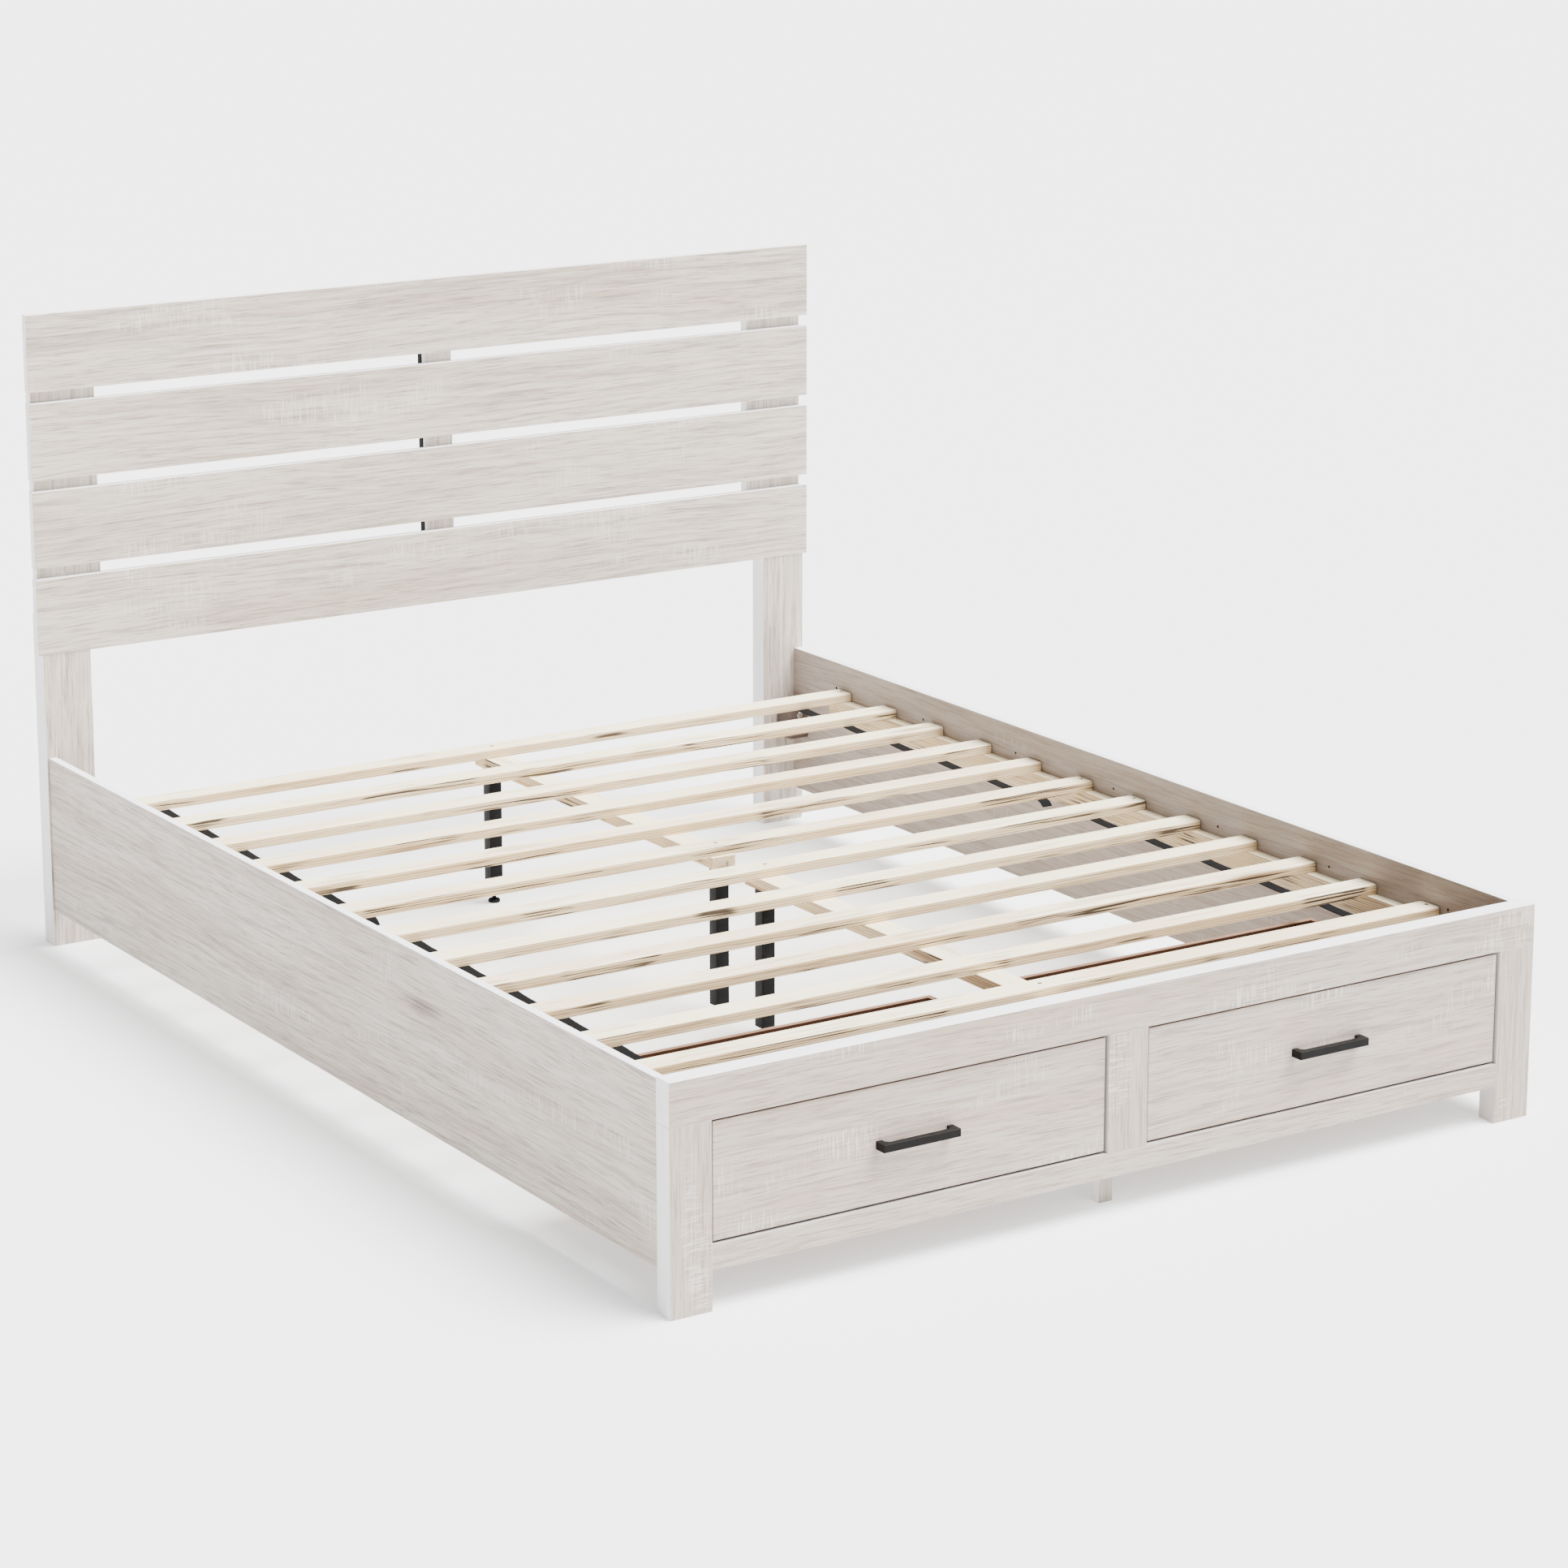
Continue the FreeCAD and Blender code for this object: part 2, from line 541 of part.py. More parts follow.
def make_drawer(side, sign):
    """Front, two sides, back, bottom in its grooves, a bar pull and its screws."""
    name = f"drawer_{side}"
    centre = f"{sign} * drawer_centre"
    height = "(opening_bottom + opening_top) / 2"
    face = "foot_front + front_recess"
    screws = [screw(f"{name}_screw_{away}", f"{centre} + {away} * (pull_length - pull_depth) / 2",
                    "box_front", height, (0, -1, 0), "pull_screw_length") for away in (-1, 1)]
    board(f"{name}_front", "opening_width - 2 * front_gap", "front_thickness",
          "opening_height - 2 * front_gap", centre, f"{face} + front_thickness / 2",
          "opening_bottom + front_gap", holes=screws)
    inside = "(box_width - 2 * box_wall)"
    bottom_z = "box_floor_gap + bottom_rise"
    bottom_length = "(box_length - box_wall + groove_depth)"
    groove = box(f"{name}_groove", f"{inside} + 2 * groove_depth", bottom_length, "bottom_thickness",
                 centre, f"box_front + {bottom_length} / 2", bottom_z)
    sides = []
    for end, away in (("left", -1), ("right", 1)):
        blank = box(f"{name}_{end}_blank", "box_wall", "box_length", "box_height",
                    f"{centre} + {away} * (box_width - box_wall) / 2", "box_front + box_length / 2",
                    "box_floor_gap")
        sides.append(cut(f"{name}_{end}", blank, groove))
    grouped(f"{name}_sides", sides)
    back = box(f"{name}_back_blank", inside, "box_wall", "box_height", centre, "box_end - box_wall / 2",
               "box_floor_gap")
    finished(cut(f"{name}_back", back, groove))
    board(f"{name}_bottom", f"{inside} + 2 * groove_depth", bottom_length, "bottom_thickness",
          centre, f"box_front + {bottom_length} / 2", bottom_z, radius=None)
    make_pull(f"{name}_pull", centre, f"{face} - pull_reach / 2", f"{height} - pull_height / 2", screws)
    grouped(f"{name}_pull_screws", screws)


def check_and_export():
    """Stops if any feature failed or any sub-part is empty or invalid, then writes one file for each."""
    for thing in doc.Objects:
        if "Invalid" in thing.State or "Error" in thing.State:
            raise RuntimeError(f"{thing.Name} failed: {thing.State}")
    os.makedirs("parts", exist_ok=True)
    for piece in PARTS:
        if piece.Shape.isNull() or not piece.Shape.isValid() or not piece.Shape.Solids:
            raise RuntimeError(f"{piece.Label} has no valid solid")
    for piece in PARTS:
        piece.Shape.exportStep(f"parts/{piece.Label}.step")
    print(len(PARTS), "sub-parts written")


slat_fasteners = make_slat_screws()
plank_fasteners = make_plank_screws()
corner_fasteners = make_corner_bolts()
make_headboard(plank_fasteners, corner_fasteners)
make_rails(slat_fasteners, corner_fasteners)
make_slats(slat_fasteners)
make_centre_support(slat_fasteners)
make_footboard(corner_fasteners)
make_runners()
for drawer_side, drawer_sign in SIDES:
    make_drawer(drawer_side, drawer_sign)
doc.recompute()
check_and_export()
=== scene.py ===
"""Looks of the storage bed frame: finishes for the CAD boards, and the small pieces made here."""
import logging
import math
from dataclasses import dataclass, field, replace
from enum import Enum
from typing import Iterable, Sequence

import bmesh
import bpy
from mathutils import Matrix, Vector


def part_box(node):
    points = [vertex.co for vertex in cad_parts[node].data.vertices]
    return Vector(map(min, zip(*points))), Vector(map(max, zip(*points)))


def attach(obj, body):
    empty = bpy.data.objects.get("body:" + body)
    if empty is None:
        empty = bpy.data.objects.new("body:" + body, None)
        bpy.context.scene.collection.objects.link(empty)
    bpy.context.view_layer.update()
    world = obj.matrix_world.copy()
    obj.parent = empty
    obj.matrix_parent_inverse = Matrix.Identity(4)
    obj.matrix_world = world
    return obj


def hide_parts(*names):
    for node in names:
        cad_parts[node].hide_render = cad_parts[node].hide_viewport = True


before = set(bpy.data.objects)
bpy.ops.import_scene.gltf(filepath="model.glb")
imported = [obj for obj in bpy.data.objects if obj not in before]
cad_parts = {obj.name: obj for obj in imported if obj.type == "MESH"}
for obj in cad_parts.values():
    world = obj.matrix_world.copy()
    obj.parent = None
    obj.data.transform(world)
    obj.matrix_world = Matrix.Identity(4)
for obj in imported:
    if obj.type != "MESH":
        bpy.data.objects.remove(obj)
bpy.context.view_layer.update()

LOG = logging.getLogger("bed")
MM = 0.001
BED = "bed_frame"
SQUARE_ON = 0.7
LEVEL = 1e-9
WELD = 1e-7
CREASE_DEGREES = 32
NO_DIRECTION = (0.0, 0.0, 0.0)
RIGHT = (1.0, 0.0, 0.0)
LEFT = (-1.0, 0.0, 0.0)
UP = (0.0, 0.0, 1.0)
DOWN = (0.0, 0.0, -1.0)


class Grain(Enum):
    """The row axis that a board's grain runs along."""

    WIDTH = "X"
    LENGTH = "Y"
    UPRIGHT = "Z"


class Face(Enum):
    """The row axis that a board's broad faces look along."""

    SIDEWAYS = (1.0, 0.0, 0.0)
    FORWARD = (0.0, 1.0, 0.0)
    UP = (0.0, 0.0, 1.0)


class Wire:
    """One value in a shader. Python's operators on it add Math nodes."""

    def __init__(self, sheet: "Sheet", socket: bpy.types.NodeSocket) -> None:
        """Wraps a socket of a sheet."""
        self.sheet = sheet
        self.socket = socket

    def math(self, operation: str, *others: "Wire | float",
             first: "Wire | float | None" = None) -> "Wire":
        """Adds a Math node.

        Args:
            operation: The node's operation.
            others: Its further operands.
            first: The first operand, when it isn't this value.

        Returns:
            The node's result.
        """
        operands = [self if first is None else first, *others]
        node = self.sheet.add("ShaderNodeMath", {"operation": operation}, dict(enumerate(operands)))
        return Wire(self.sheet, node.outputs[0])

    def __add__(self, other: "Wire | float") -> "Wire":
        """Sum."""
        return self.math("ADD", other)

    def __sub__(self, other: "Wire | float") -> "Wire":
        """Difference."""
        return self.math("SUBTRACT", other)

    def __rsub__(self, other: "Wire | float") -> "Wire":
        """Difference from a number."""
        return self.math("SUBTRACT", self, first=other)

    def __mul__(self, other: "Wire | float") -> "Wire":
        """Product."""
        return self.math("MULTIPLY", other)

    def __gt__(self, other: "Wire | float") -> "Wire":
        """One where this is larger, else zero."""
        return self.math("GREATER_THAN", other)

    __radd__ = __add__
    __rmul__ = __mul__

    def ramp(self, low: float, high: float) -> "Wire":
        """Rises smoothly from 0 to 1.

        Args:
            low: Where it leaves 0.
            high: Where it reaches 1.

        Returns:
            The share.
        """
        settings = {"interpolation_type": "SMOOTHSTEP"}
        inputs = {0: self, 1: low, 2: high, 3: 0.0, 4: 1.0}
        node = self.sheet.add("ShaderNodeMapRange", settings, inputs)
        return Wire(self.sheet, node.outputs[0])


@dataclass
class Sheet:
    """A material's node tree, and the short words that build it."""

    name: str
    material: bpy.types.Material = field(init=False)
    tree: bpy.types.NodeTree = field(init=False)
    surface: bpy.types.Node = field(init=False)

    def __post_init__(self) -> None:
        """Makes an empty material with a Principled surface."""
        self.material = bpy.data.materials.new(self.name)
        self.material.use_nodes = True
        self.tree = self.material.node_tree
        self.surface = next(n for n in self.tree.nodes if n.type == "BSDF_PRINCIPLED")

    def add(self, kind: str, settings: dict, inputs: dict) -> bpy.types.Node:
        """Makes a node.

        Args:
            kind: The node's type.
            settings: Its properties, set first.
            inputs: Its sockets by name or number, each a number, a colour, a vector, a wire or a socket.

        Returns:
            The node.
        """
        node = self.tree.nodes.new(kind)
        for key, value in settings.items():
            setattr(node, key, value)
        for key, value in inputs.items():
            self.feed(node, key, value)
        return node

    def feed(self, node: bpy.types.Node, key: "str | int", value: object) -> None:
        """Sets one socket of a node, or links a wire or a socket to it.

        Args:
            node: The node.
            key: The socket's name or number.
            value: A number, colour or vector to set, or a wire or socket to link.
        """
        if isinstance(value, Wire):
            value = value.socket
        if isinstance(value, bpy.types.NodeSocket):
            self.tree.links.new(value, node.inputs[key])
        else:
            node.inputs[key].default_value = value

    def constants(self, **values: float) -> None:
        """Sets numbers on the Principled surface, by socket name with underscores for spaces."""
        for key, value in values.items():
            self.surface.inputs[key.replace("_", " ")].default_value = value

    def paint(self, colour: bpy.types.NodeSocket) -> None:
        """Links the base colour."""
        self.feed(self.surface, "Base Color", colour)

    def place(self) -> tuple[Wire, Wire, Wire]:
        """The place on the object, in metres, by axis.

        Returns:
            The place along X, Y and Z.
        """
        coordinates = self.add("ShaderNodeTexCoord", {}, {})
        parts = self.add("ShaderNodeSeparateXYZ", {}, {0: coordinates.outputs["Object"]})
        return tuple(Wire(self, socket) for socket in parts.outputs)

    def vector(self, x: "Wire | float", y: "Wire | float", z: "Wire | float") -> bpy.types.NodeSocket:
        """A vector of three values."""
        return self.add("ShaderNodeCombineXYZ", {}, {0: x, 1: y, 2: z}).outputs[0]

    def noise(self, where: bpy.types.NodeSocket, detail: float = 3.0, rough: float = 0.5,
              warp: float = 0.0) -> Wire:
        """Fractal noise of scale 1 at a vector.

        Args:
            where: The vector, already scaled.
            detail: How many octaves it has.
            rough: How strong the finer octaves are.
            warp: How far it is bent.

        Returns:
            The noise.
        """
        inputs = {"Vector": where, "Scale": 1.0, "Detail": detail, "Roughness": rough, "Distortion": warp}
        return Wire(self, self.add("ShaderNodeTexNoise", {}, inputs).outputs[0])

    def waves(self, where: bpy.types.NodeSocket, warp: float, detail: float = 2.0) -> Wire:
        """Bands across the second axis of a vector, bent by noise.

        Args:
            where: The vector, already scaled.
            warp: How far the bands are bent.
            detail: How many octaves the bending has.

        Returns:
            The bands.
        """
        settings = {"wave_type": "BANDS", "bands_direction": "Y"}
        inputs = {"Vector": where, "Scale": 1.0, "Distortion": warp, "Detail": detail, "Detail Scale": 1.0}
        return Wire(self, self.add("ShaderNodeTexWave", settings, inputs).outputs[1])

    def cells(self, where: bpy.types.NodeSocket) -> tuple[Wire, Wire]:
        """Scattered points.

        Args:
            where: The vector, already scaled.

        Returns:
            Distance to the nearest point, and a number that differs by point.
        """
        node = self.add("ShaderNodeTexVoronoi", {}, {"Vector": where, "Scale": 1.0})
        number = self.add("ShaderNodeSeparateXYZ", {}, {0: node.outputs["Color"]})
        return Wire(self, node.outputs["Distance"]), Wire(self, number.outputs[0])

    def blend(self, factor: "Wire | float", low: object, high: object) -> bpy.types.NodeSocket:
        """A colour between two colours."""
        node = self.add("ShaderNodeMix", {"data_type": "RGBA"}, {0: factor, 6: low, 7: high})
        return node.outputs[2]

    def turned(self, way: tuple) -> Wire:
        """How squarely the surface looks along a direction.

        Args:
            way: The direction, of length one.

        Returns:
            The cosine of the angle between them.
        """
        normal = self.add("ShaderNodeNewGeometry", {}, {}).outputs["True Normal"]
        dot = self.add("ShaderNodeVectorMath", {"operation": "DOT_PRODUCT"}, {0: normal, 1: way})
        return Wire(self, dot.outputs["Value"])

    def facing(self, face: Face) -> Wire:
        """One on the faces that look along an axis, else zero."""
        return self.turned(face.value).math("ABSOLUTE") > SQUARE_ON

    def looking(self, way: tuple) -> Wire:
        """One on the faces that look one way, else zero."""
        return self.turned(way) > SQUARE_ON

    def bump(self, height: Wire, depth: float, strength: float = 1.0) -> None:
        """Gives the surface a relief of a depth in metres."""
        node = self.add("ShaderNodeBump", {}, {"Height": height, "Distance": depth, "Strength": strength})
        self.feed(self.surface, "Normal", node.outputs[0])


def rgb(red: float, green: float, blue: float) -> tuple[float, float, float, float]:
    """A solid colour."""
    return (red, green, blue, 1.0)


# Dark brown narrow faces of the drawer fronts, deepened as painted shade of the gaps round the drawers.
EDGE_WITH_GAP_SHADE = rgb(0.110, 0.075, 0.060)


def by_grain(place: Sequence[Wire], grain: Grain) -> tuple[Wire, Wire, Wire]:
    """The place along the grain and across it both ways."""
    x, y, z = place
    return {Grain.WIDTH: (x, z, y), Grain.LENGTH: (y, z, x), Grain.UPRIGHT: (z, x, y)}[grain]


@dataclass(frozen=True)
class WashedOak:
    """White-washed oak print on board, with plain white edge band on the narrow faces, and painted shade on
    the faces that look one chosen way.
    """

    grain: Grain
    face: Face
    seed: float
    pale: tuple = rgb(0.590, 0.530, 0.470)
    warm: tuple = rgb(0.390, 0.290, 0.230)
    grey: tuple = rgb(0.260, 0.220, 0.190)
    line: tuple = rgb(0.170, 0.130, 0.105)
    knot: tuple = rgb(0.120, 0.080, 0.060)
    saw_mark: tuple = rgb(0.740, 0.710, 0.680)
    band: tuple = rgb(0.860, 0.860, 0.870)
    # inner: the way that the faces with painted shade look; shade: the colour of that painted shade.
    inner: tuple = NO_DIRECTION
    shade: tuple = rgb(0.210, 0.150, 0.115)
    # drilled: the heights of a band of painted shade that stands for the inside of the pilot holes.
    drilled: tuple = (0.0, 0.0)

    def make(self, name: str) -> bpy.types.Material:
        """Makes the material for one board.

        Args:
            name: The material's name.

        Returns:
            The material.
        """
        sheet = Sheet(name)
        place = sheet.place()
        along, across, through = by_grain(place, self.grain)
        along = along + self.seed * 3.71
        across = across + self.seed * 0.37
        drift = sheet.noise(sheet.vector(along * 1.1, across * 4.0, through * 4.0), 2.0) - 0.5
        bent = across + drift * 0.045
        broad = sheet.noise(sheet.vector(along * 1.3, bent * 22.0, through * 22.0), 3.0, 0.6)
        streak = sheet.noise(sheet.vector(along * 4.5, bent * 115.0, through * 115.0), 4.0, 0.65)
        fibre = sheet.noise(sheet.vector(along * 14.0, bent * 480.0, through * 480.0), 3.0, 0.7)
        figure = sheet.waves(sheet.vector(along * 0.8, bent * 20.0, through * 10.0), 9.0, 3.0)
        cloud = sheet.noise(sheet.vector(along * 2.6, across * 9.0, through * 9.0), 2.0)
        colour = sheet.blend(broad.ramp(0.42, 0.70) * 0.45, self.pale, self.warm)
        colour = sheet.blend(figure.ramp(0.55, 0.95) * cloud.ramp(0.38, 0.60) * 0.45, colour, self.warm)
        colour = sheet.blend(streak.ramp(0.48, 0.68) * 0.50, colour, self.grey)
        colour = sheet.blend(fibre.ramp(0.48, 0.66) * 0.62, colour, self.line)
        saw = sheet.noise(sheet.vector(along * 300.0, across * 22.0, through * 22.0), 2.0, 0.6)
        patch = sheet.noise(sheet.vector(along * 5.0, across * 13.0, through * 13.0), 1.0)
        colour = sheet.blend(saw.ramp(0.50, 0.62) * patch.ramp(0.56, 0.70) * 0.42, colour, self.saw_mark)
        near, chance = sheet.cells(sheet.vector(along * 1.7, bent * 7.0, through * 1.0))
        knot = (1 - near.ramp(0.02, 0.15)) * (chance > 0.82)
        colour = sheet.blend(knot * streak.ramp(0.30, 0.60) * 0.80, colour, self.knot)
        broad_face = sheet.facing(self.face)
        soft = sheet.noise(sheet.vector(along * 4.0, across * 60.0, through * 60.0), 2.0)
        edge = sheet.blend(soft.ramp(0.45, 0.75) * 0.12, self.band, self.warm)
        colour = sheet.blend(broad_face, edge, colour)
        # Painted shade: faces that look along inner are darkened towards the shade colour.
        colour = sheet.blend(sheet.looking(self.inner) * 0.60, colour, self.shade)
        # Painted shade: a dark band across the narrow faces at the pilot holes' height, in the knot colour.
        low, high = self.drilled
        hole_shade = (place[2] > low) * (1 - (place[2] > high)) * (1 - broad_face)
        sheet.paint(sheet.blend(hole_shade, colour, self.knot))
        sheet.feed(sheet.surface, "Roughness", 0.48 + fibre * 0.18)
        sheet.bump((1 - fibre * 0.7 - streak * 0.3) * broad_face, 0.0003, 0.5)
        sheet.constants(Specular_IOR_Level=0.35)
        return sheet.material


@dataclass(frozen=True)
class Pine:
    """Planed, unfinished pine with growth lines, knots and small checks; the sides are painted in shade,
    darker and more tan than the tops.
    """

    grain: Grain
    seed: float
    pale: tuple = rgb(0.940, 0.845, 0.620)
    tan: tuple = rgb(0.560, 0.380, 0.180)
    brown: tuple = rgb(0.220, 0.110, 0.045)
    dark: tuple = rgb(0.030, 0.018, 0.010)

    def make(self, name: str) -> bpy.types.Material:
        """Makes the material for one stick.

        Args:
            name: The material's name.

        Returns:
            The material.
        """
        sheet = Sheet(name)
        along, across, through = by_grain(sheet.place(), self.grain)
        along = along + self.seed * 2.93
        drift = sheet.noise(sheet.vector(along * 1.7, across * 6.0, through * 6.0), 2.0) - 0.5
        up = across + drift * 0.016 + self.seed * 0.11
        deep = through + drift * 0.020 + self.seed * 0.23
        rings = sheet.waves(sheet.vector(along * 0.5, up * 75.0 + deep * 34.0, deep * 20.0), 3.0)
        tone = sheet.noise(sheet.vector(along * 1.3, up * 20.0, deep * 20.0), 3.0)
        patch = sheet.noise(sheet.vector(along * 3.0, up * 4.0, deep * 4.0), 2.0)
        fibre = sheet.noise(sheet.vector(along * 6.0, up * 210.0, deep * 210.0), 3.0, 0.6)
        # Painted light and shade: faces that look up and down stay pale, the sides shift towards tan; the
        # stronger rings, fibres and checks on the sides are the wood's own.
        side = 1 - sheet.facing(Face.UP)
        colour = sheet.blend(tone.ramp(0.40, 0.72) * 0.30 + side * 0.55, self.pale, self.tan)
        colour = sheet.blend(patch.ramp(0.52, 0.72) * 0.35, colour, self.tan)
        colour = sheet.blend(rings.ramp(0.60, 1.0) * (0.28 + side * 0.20), colour, self.tan)
        colour = sheet.blend(rings.ramp(0.72, 1.0) * side * 0.55, colour, self.brown)
        colour = sheet.blend(fibre.ramp(0.50, 0.70) * (0.16 + side * 0.36), colour, self.brown)
        near, chance = sheet.cells(sheet.vector(along * 2.2, up * 20.0, deep * 10.0))
        knot = (1 - near.ramp(0.03, 0.20)) * (chance > 0.78)
        colour = sheet.blend(knot * 0.85, colour, self.brown)
        split = sheet.noise(sheet.vector(along * 4.5, up * 300.0, deep * 130.0), 1.0)
        rare = sheet.noise(sheet.vector(along * 6.0, up * 12.0, deep * 12.0), 1.0)
        crack = split.ramp(0.54, 0.60) * rare.ramp(0.50, 0.58) * (0.25 + side * 0.70)
        colour = sheet.blend(crack, colour, self.dark)
        sheet.paint(colour)
        sheet.feed(sheet.surface, "Roughness", 0.60 + fibre * 0.14)
        sheet.bump((1 - fibre) * 0.5 + rings * 0.2 - crack * 1.5 - knot * 0.3, 0.0004, 0.6)
        sheet.constants(Specular_IOR_Level=0.25)
        return sheet.material


@dataclass(frozen=True)
class FibreBoard:
    """Raw fibreboard: a dense speckle, painted paler on the faces that look up and down as painted light.
    """

    face_colour: tuple
    lit_top_colour: tuple
    speck: tuple

    def make(self, name: str) -> bpy.types.Material:
        """Makes the material for the board.

        Args:
            name: The material's name.

        Returns:
            The material.
        """
        sheet = Sheet(name)
        x, y, z = sheet.place()
        fluff = sheet.noise(sheet.vector(x * 900.0, y * 900.0, z * 900.0), 3.0, 0.65)
        stain = sheet.noise(sheet.vector(x * 14.0, y * 14.0, z * 26.0), 3.0)
        # Painted light: faces that look up and down take the paler colour, the rest keep the darker face
        # colour.
        colour = sheet.blend(sheet.facing(Face.UP), self.face_colour, self.lit_top_colour)
        colour = sheet.blend(stain.ramp(0.35, 0.75) * 0.30, colour, self.speck)
        colour = sheet.blend(fluff.ramp(0.52, 0.70) * 0.35, colour, self.speck)
        sheet.paint(colour)
        sheet.feed(sheet.surface, "Roughness", 0.72 + fluff * 0.16)
        sheet.bump(fluff, 0.0003, 0.5)
        sheet.constants(Specular_IOR_Level=0.2)
        return sheet.material


@dataclass(frozen=True)
class Webbing:
    """Flat woven strap: two sets of crossing ribs."""

    thread: float = 1.6 * MM
    colour: tuple = rgb(0.002, 0.002, 0.0022)
    crown: tuple = rgb(0.007, 0.007, 0.008)

    def make(self, name: str) -> bpy.types.Material:
        """Makes the material for the strap.

        Args:
            name: The material's name.

        Returns:
            The material.
        """
        sheet = Sheet(name)
        x, y, z = sheet.place()
        turn = 2 * math.pi / self.thread
        over = (x * turn).math("SINE")
        under = (y * turn + z * turn).math("SINE")
        weave = (over * under) * 0.5 + 0.5
        fuzz = sheet.noise(sheet.vector(x * 2500.0, y * 900.0, z * 2500.0), 2.0)
        colour = sheet.blend(weave * 0.65 + fuzz * 0.25, self.colour, self.crown)
        sheet.paint(colour)
        sheet.feed(sheet.surface, "Roughness", 0.62 + fuzz * 0.25)
        sheet.bump(weave, 0.0004, 0.8)
        sheet.constants(Specular_IOR_Level=0.08)
        return sheet.material


@dataclass(frozen=True)
class Coated:
    """Powder coat, paint or moulded plastic: an orange-peel relief with a slight tone change."""

    colour: tuple
    worn: tuple
    roughness: float
    gloss: float = 0.10
    peel: float = 0.00012
    grain: float = 650.0

    def make(self, name: str) -> bpy.types.Material:
        """Makes the material for the part.

        Args:
            name: The material's name.

        Returns:
            The material.
        """
        sheet = Sheet(name)
        x, y, z = sheet.place()
        peel = sheet.noise(sheet.vector(x * self.grain, y * self.grain, z * self.grain), 2.0)
        dust = sheet.noise(sheet.vector(x * 30.0, y * 30.0, z * 30.0), 4.0, 0.6)
        sheet.paint(sheet.blend(dust.ramp(0.45, 0.80) * 0.6, self.colour, self.worn))
        sheet.feed(sheet.surface, "Roughness", self.roughness + dust * 0.14)
        sheet.bump(peel, self.peel, 0.5)
        sheet.constants(Specular_IOR_Level=self.gloss)
        return sheet.material


@dataclass(frozen=True)
class Plated:
    """Zinc-plated steel with a mottled sheen."""

    bright: tuple = rgb(0.62, 0.60, 0.56)
    dull: tuple = rgb(0.30, 0.28, 0.25)

    def make(self, name: str) -> bpy.types.Material:
        """Makes the material for screws and staples.

        Args:
            name: The material's name.

        Returns:
            The material.
        """
        sheet = Sheet(name)
        x, y, z = sheet.place()
        mottle = sheet.noise(sheet.vector(x * 420.0, y * 420.0, z * 420.0), 3.0, 0.6)
        sheet.paint(sheet.blend(mottle.ramp(0.3, 0.7), self.bright, self.dull))
        sheet.feed(sheet.surface, "Roughness", 0.28 + mottle * 0.3)
        sheet.bump(mottle, 0.0001, 0.4)
        sheet.constants(Metallic=1.0)
        return sheet.material


class Finishes:
    """Every material of the bed, made once."""

    def __init__(self) -> None:
        """Makes the materials that several pieces share."""
        self.webbing = Webbing().make("webbing_black")
        powder = Coated(rgb(0.003, 0.003, 0.0033), rgb(0.009, 0.009, 0.010), 0.46)
        self.powder = powder.make("powder_coat")
        pull = Coated(rgb(0.003, 0.0028, 0.0026), rgb(0.008, 0.0075, 0.007), 0.38)
        self.pull = pull.make("pull_black")
        plastic = Coated(rgb(0.006, 0.006, 0.006), rgb(0.016, 0.016, 0.016), 0.5)
        self.plastic = plastic.make("plastic_black")
        strip = Coated(rgb(0.004, 0.004, 0.004), rgb(0.010, 0.010, 0.010), 0.6)
        self.strip = strip.make("edge_strip_black")
        self.zinc = Plated().make("zinc")
        # Blocks, panels and beam: brown, a little paler on faces that look up and down as painted light.
        self.block = FibreBoard(rgb(0.105, 0.078, 0.066), rgb(0.15, 0.105, 0.085),
                                rgb(0.040, 0.027, 0.022))
        # Drawer boards: their own brown darkened as painted shade, with the faces that look up and down
        # painted paler as painted light.
        self.drawer = FibreBoard(rgb(0.085, 0.044, 0.027), rgb(0.36, 0.215, 0.140),
                                 rgb(0.040, 0.020, 0.012))

    @staticmethod
    def dress(node: str, material: bpy.types.Material) -> None:
        """Gives a CAD node one material.

        Args:
            node: The node's name.
            material: Its finish.
        """
        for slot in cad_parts[node].material_slots:
            slot.material = material
        LOG.info("%s: %s", node, material.name)


